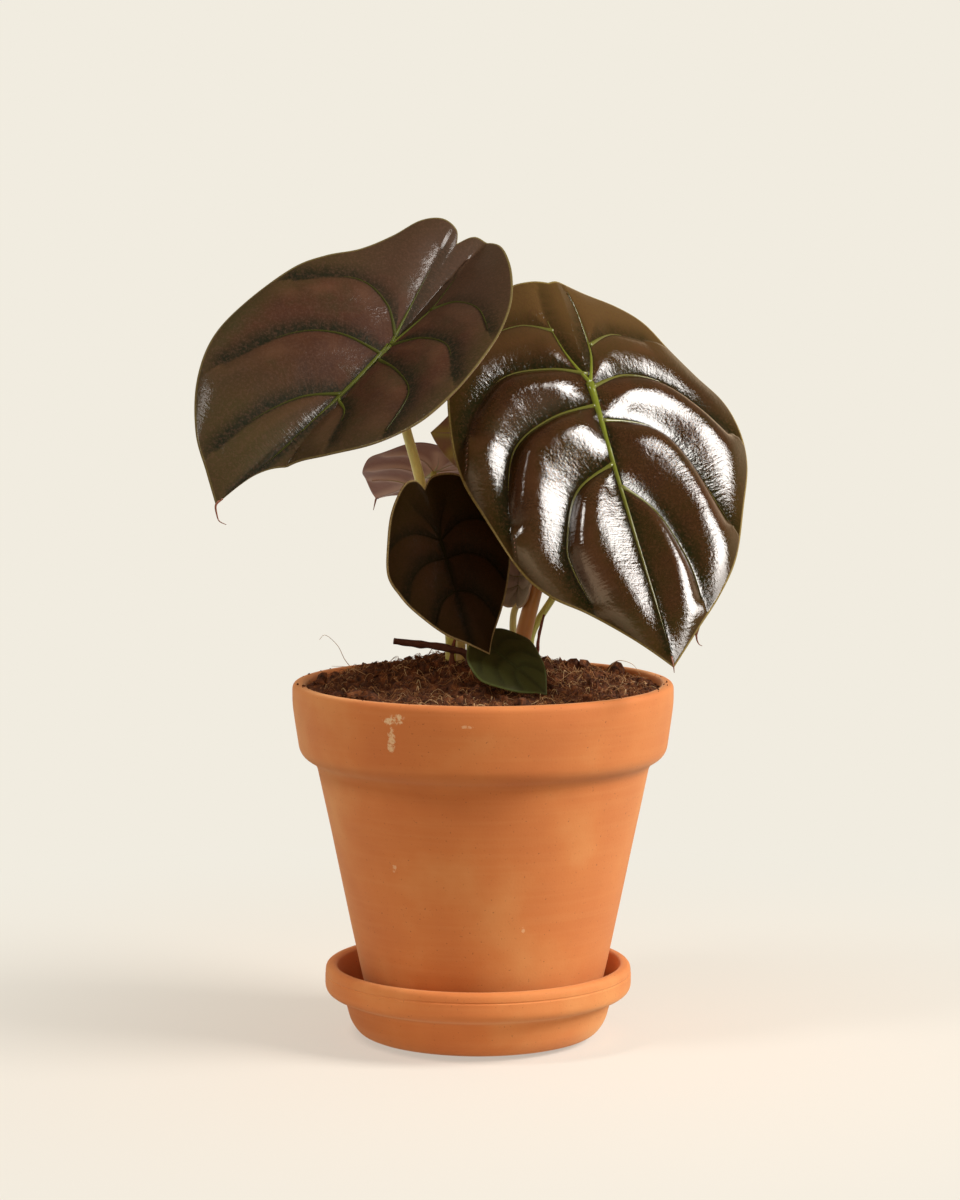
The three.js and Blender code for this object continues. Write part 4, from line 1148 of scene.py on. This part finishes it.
# The five finishes of a blade: its faces, its veins above and below, and the tip's thread.
def bladeFinishes(name):
    lookName, veinStart, veinEnd = leafFinish[name]
    colours, settings = leafLooks[lookName]
    look = {**plainLook, **dict(zip(lookColours, colours.split())), **settings}
    return [
        copperSkin(f"{lookName}LeafUpper_{name}", look),
        plumSkin(f"leafUnder_{name}", *underColours.get(name, ("#8c5a4c", "#c09884"))),
        ribSkin(f"veinUpper_{name}", veinStart, veinEnd, look["shine"], look["coat"] ** 3),
        ribSkin(f"veinUnder_{name}", "#a8a070", "#a98777", 0.5, 0.1),
        ribSkin(f"tipThread_{name}", "#7a5230", "#7a4630", 0.5, 0.1),
    ]


def buildBlade(name, leaf):
    veins = bladeVeins(leaf)
    outline = bladeOutline(leaf)
    points, faces, numbers, finish = bladeSkin(leaf, veins, outline)
    skins, along, finishes = [(inPlace(points, leaf), faces)], [numbers["along"]], [finish]
    for i, vein in enumerate(veins):
        half = bladeDetail["lateralHalf" if i else "midribHalf"] * leaf["length"]
        veinPoints, veinFaces, veinAlong, veinFinish = veinSkin(vein, leaf, veins, half, outline)
        skins.append((inPlace(veinPoints, leaf), veinFaces))
        greenFrom = 0 if abs(vein[-1, 0]) < bladeDetail["nearMiddle"] else bladeDetail["greenFrom"]
        along.append(greenFrom + (1 - greenFrom) * veinAlong)
        finishes.append(2 + veinFinish)
    if "drip" in leaf:
        skins.append(dripSkin(leaf, outline))
        along.append(np.ones(len(skins[-1][0])))
        finishes.append(np.full(len(skins[-1][1]), 4))
    allPoints, allFaces = joinSkins(skins)
    extra = np.zeros(len(allPoints) - len(points))
    numbers = {key: np.concatenate([values, extra]) for key, values in numbers.items()}
    numbers["along"] = np.concatenate(along)
    finish = np.concatenate(finishes)
    piece = makePiece(f"blade_{name}", allPoints, allFaces, bladeFinishes(name), numbers, finish)
    stand(piece, f"leaf_{name}")


# Petioles and the dead bits at the plant's foot

stems = {
    "sink": 11, "drySink": 9,  # mm that a live and a dry stem go into the soil
    "columns": 20, "rows": 70, "ribs": 7, "knobsLong": 12, "knobSize": 0.9,
    "neck": 4, "seat": 0.8,  # a stalk's last bend: how far under the blade it starts, in top radii and mm
}

dryPieces = {
    "dry_root": {"foot": 1.5, "top": 1.3, "colour": "#6a3a2a",
                 "path": [(-3.6, -4.5, 152), (-8, -5, 154.2), (-20, -6, 156.6), (-33, -8, 158.4)]},
    "dry_sheath": {"foot": 1.7, "top": 0.5, "colour": "#8c4a2c",
                   "path": [(-10.3, -2.6, 152), (-9, -2.8, 159)]},
    "dry_strand": {"foot": 0.8, "top": 0.5, "colour": "#93503c",
                   "path": [(23.6, 6.5, 156), (26, 7.5, 167)]},
}


# A stem's foot stands upright in the soil below the first point of its path.
def rooted(path, sink):
    x, y = path[0][:2]
    surface = float(soilHeight(np.array(float(x)), np.array(float(y))))
    return [(x, y, surface - sink), (x, y, surface - sink / 2), (x, y, surface), *path]


# A stalk along a smooth path, its radius going evenly from foot to top, with shallow ribs and knobs.
def stalkSkin(path, foot, top, ribs, knobs, seed):
    line = evenly(splineThrough(path, 30, 0.5), stems["rows"])
    s = np.linspace(0, 1, stems["rows"])[:, None]
    angle = np.linspace(0, 2 * np.pi, stems["columns"], endpoint=False)
    places = np.broadcast_arrays(s * stems["knobsLong"], np.cos(angle), np.sin(angle))
    rough = lumps(np.stack(places, axis=-1), stems["knobSize"], seed)
    shape = 1 + ribs * np.cos(stems["ribs"] * angle) + knobs * rough
    points, faces = tubeSkin(line, (foot + (top - foot) * s) * shape, angle)
    along = np.concatenate([np.repeat(s.ravel(), stems["columns"]), [0, 1]])
    return points, faces, along


# Petiole skin: smooth and juicy, with a satin shine; pale green, rusty towards the foot on an old one.
juicy = {
    "noises": {"streak": (2.2, 3, 0.5, 1, 1, 0.12)},
    "numbers": ["along"],
    "masks": {"streaky": ("streak", 0.5, 0.7, 0, 0.35)},
    "places": (0.12, 0.42, 0.75),
}


def petioleSkin(name, foot, middle, top):
    material, add, value = newMaterial(name, juicy)
    colour = add("ValToRGB", [value["along"]], stops=list(zip(juicy["places"], (foot, middle, top))))
    colour = add("Mix", {0: value["streaky"], 6: colour, 7: linear(foot)}, **coloured)
    finishWith(add, {
        "Base Color": colour, "Roughness": 0.42, "Subsurface Weight": 0.15,
        "Subsurface Radius": (1.0 * mm, 1.2 * mm, 0.5 * mm), "Subsurface Scale": 1,
    })
    return material


petioleColours = {
    "left": ("#c4c368", "#ece894", "#ece894"), "right": ("#b87a45", "#c49a52", "#c2c463"),
    "centre": ("#b9a060", "#c4bc6c", "#b0b060"), "back": ("#b0b268", "#c8c878", "#c8c47a"),
    "hidden": ("#b0b268", "#c8c878", "#d2d47c"), "rear": ("#b5ba62", "#c8cc70", "#b9bd68"),
    "bud": ("#cbcd88", "#d8da98", "#cccb8a"), "low": ("#a5a558", "#979a54", "#828a44"),
}


def buildPetiole(name, leaf):
    foot, top = leaf["stem"]
    up = bladeAxes(leaf)[2]
    below = [tuple(np.array(leaf["navel"]) - up * d) for d in (stems["seat"] + stems["neck"] * top, 0.2)]
    path = [*rooted(leaf["path"], stems["sink"]), *below]
    points, faces, along = stalkSkin(path, foot, top, 0.02, 0.02, 51)
    finish = petioleSkin(f"petioleSkin_{name}", *petioleColours[name])
    piece = makePiece(f"stalk_{name}", points, faces, [finish], {"along": along})
    stand(piece, f"petiole_{name}")


# Dead plant skin: dull brown, mottled darker, and rough.
withered = {"noises": {"mottle": (1.4, 4, 0.7)}, "dark": "#2a1510"}


def witheredSkin(name, colour):
    material, add, value = newMaterial(name, withered)
    shade = {0: value["mottle"], 6: linear(withered["dark"]), 7: linear(colour)}
    bump = add("Bump", {"Strength": 0.8, "Distance": 0.3 * mm, "Height": value["mottle"]})
    finishWith(add, {"Base Color": add("Mix", shade, **coloured), "Roughness": 0.75, "Normal": bump})
    return material


def buildDryPiece(name, piece):
    path = rooted(piece["path"], stems["drySink"])
    points, faces, along = stalkSkin(path, piece["foot"], piece["top"], 0.05, 0.34, 61)
    finish = witheredSkin(f"withered_{name}", piece["colour"])
    stand(makePiece(f"withered_{name}", points, faces, [finish], {"along": along}), name)


for leafName, leafSettings in leaves.items():
    buildBlade(leafName, {**plainLeaf, **leafSettings})
    buildPetiole(leafName, leafSettings)
for dryName, drySettings in dryPieces.items():
    buildDryPiece(dryName, drySettings)
print("plant made")


# Studio

studio = {
    "paper": "#f1ece0", "glow": "#f6dab8", "floor": "#eee6dc",
    "fade": (0.04, 0.42, 0.5),  # m from the pot where the floor turns into background, and the least share
    "mirrored": (-0.4, 0.6, 0.1),  # from front to back in m, and how bright the leaves see it at the front
    "depth": (-0.35, 0.6, 0.65, 1.4),  # how bright the room is from front to back
    "height": (0.2, 0.65, 1, 0.12),  # and from level to overhead
    "floorRings": (300, 700, 1500, 4000, 12000), "floorSides": 96,
    "aim": (0, 0, 0.2),
    "lamps": [  # name, place in m, size in m, power in W, colour
        ("keyBox", (1.56, -0.49, 1.24), (0.86, 0.86), 50, "#fffaf4"),
        ("sideBox", (-0.95, -0.8, 1.75), (0.42, 0.42), 13, "#fffaf4"),
        ("fillBox", (-0.8, -2.6, 0.3), (3.0, 2.0), 22, "#ffdcb4"),
    ],
}


# The paper floor fades with distance into the background's own colour, so it has no horizon. What the
# leaves mirror of it is dim towards the front, where the real paper ends.
def paperFloor():
    material, add, value = newMaterial("studioPaper", {})
    depth = add("MapRange", [add("SeparateXYZ", [value["where"]], 1), *studio["mirrored"]])
    bright = add("Math", [add("LightPath", output="Is Camera Ray"), depth], operation="MAXIMUM")
    paper = add("BsdfDiffuse", {"Color": linear(studio["floor"])})
    glow = add("Emission", {"Color": linear(studio["paper"]), "Strength": bright})
    away = add("VectorMath", [value["where"]], "Value", operation="LENGTH")
    fade = add("MapRange", [away, *studio["fade"]], **eased)
    add("OutputMaterial", [add("MixShader", [fade, paper, glow])])
    return material


def layFloor():
    sides = studio["floorSides"]
    profile = np.array([(radius, 0) for radius in studio["floorRings"]], float)
    rings = turnedRings(profile, sides, 0)
    points = np.vstack([rings.reshape(-1, 3), [[0, 0, 0]]])
    j = np.arange(sides)
    fan = np.stack([np.full(sides, len(points) - 1), j, (j + 1) % sides], axis=1)
    faces = [*ringQuads(len(rings), sides)[:, ::-1].tolist(), *fan.tolist()]
    makePiece("studioFloor", points, faces, [paperFloor()])


def fillAir():
    world = bpy.data.worlds.new("studioAir")
    world.use_nodes = True
    world.node_tree.nodes.clear()
    add = partial(addNode, world.node_tree)
    sky = add("TexCoord", output="Generated")
    depth = add("MapRange", [add("SeparateXYZ", [sky], 1), *studio["depth"]], **eased)
    height = add("MapRange", [add("SeparateXYZ", [sky], 2), *studio["height"]], **eased)
    strength = add("Math", [depth, height], **times)
    light = add("Background", {"Color": linear(studio["glow"]), "Strength": strength})
    view = add("Background", {"Color": linear(studio["paper"]), "Strength": 1})
    add("OutputWorld", [add("MixShader", [add("LightPath", output="Is Camera Ray"), light, view])])
    bpy.context.scene.world = world


def hangLamps():
    for name, place, size, power, colour in studio["lamps"]:
        data = bpy.data.lights.new(name, "AREA")
        data.shape = "RECTANGLE"
        data.size, data.size_y = size
        data.energy = power
        data.color = linear(colour)[:3]
        lamp = bpy.data.objects.new(name, data)
        way = np.array(studio["aim"]) - np.array(place)
        lamp.location = place
        lamp.rotation_euler = (math.acos(-way[2] / np.linalg.norm(way)), 0,
                               math.atan2(way[1], way[0]) - math.pi / 2)
        bpy.context.scene.collection.objects.link(lamp)


layFloor()
fillAir()
hangLamps()
bpy.context.scene.view_settings.view_transform = "Standard"
print("studio set")
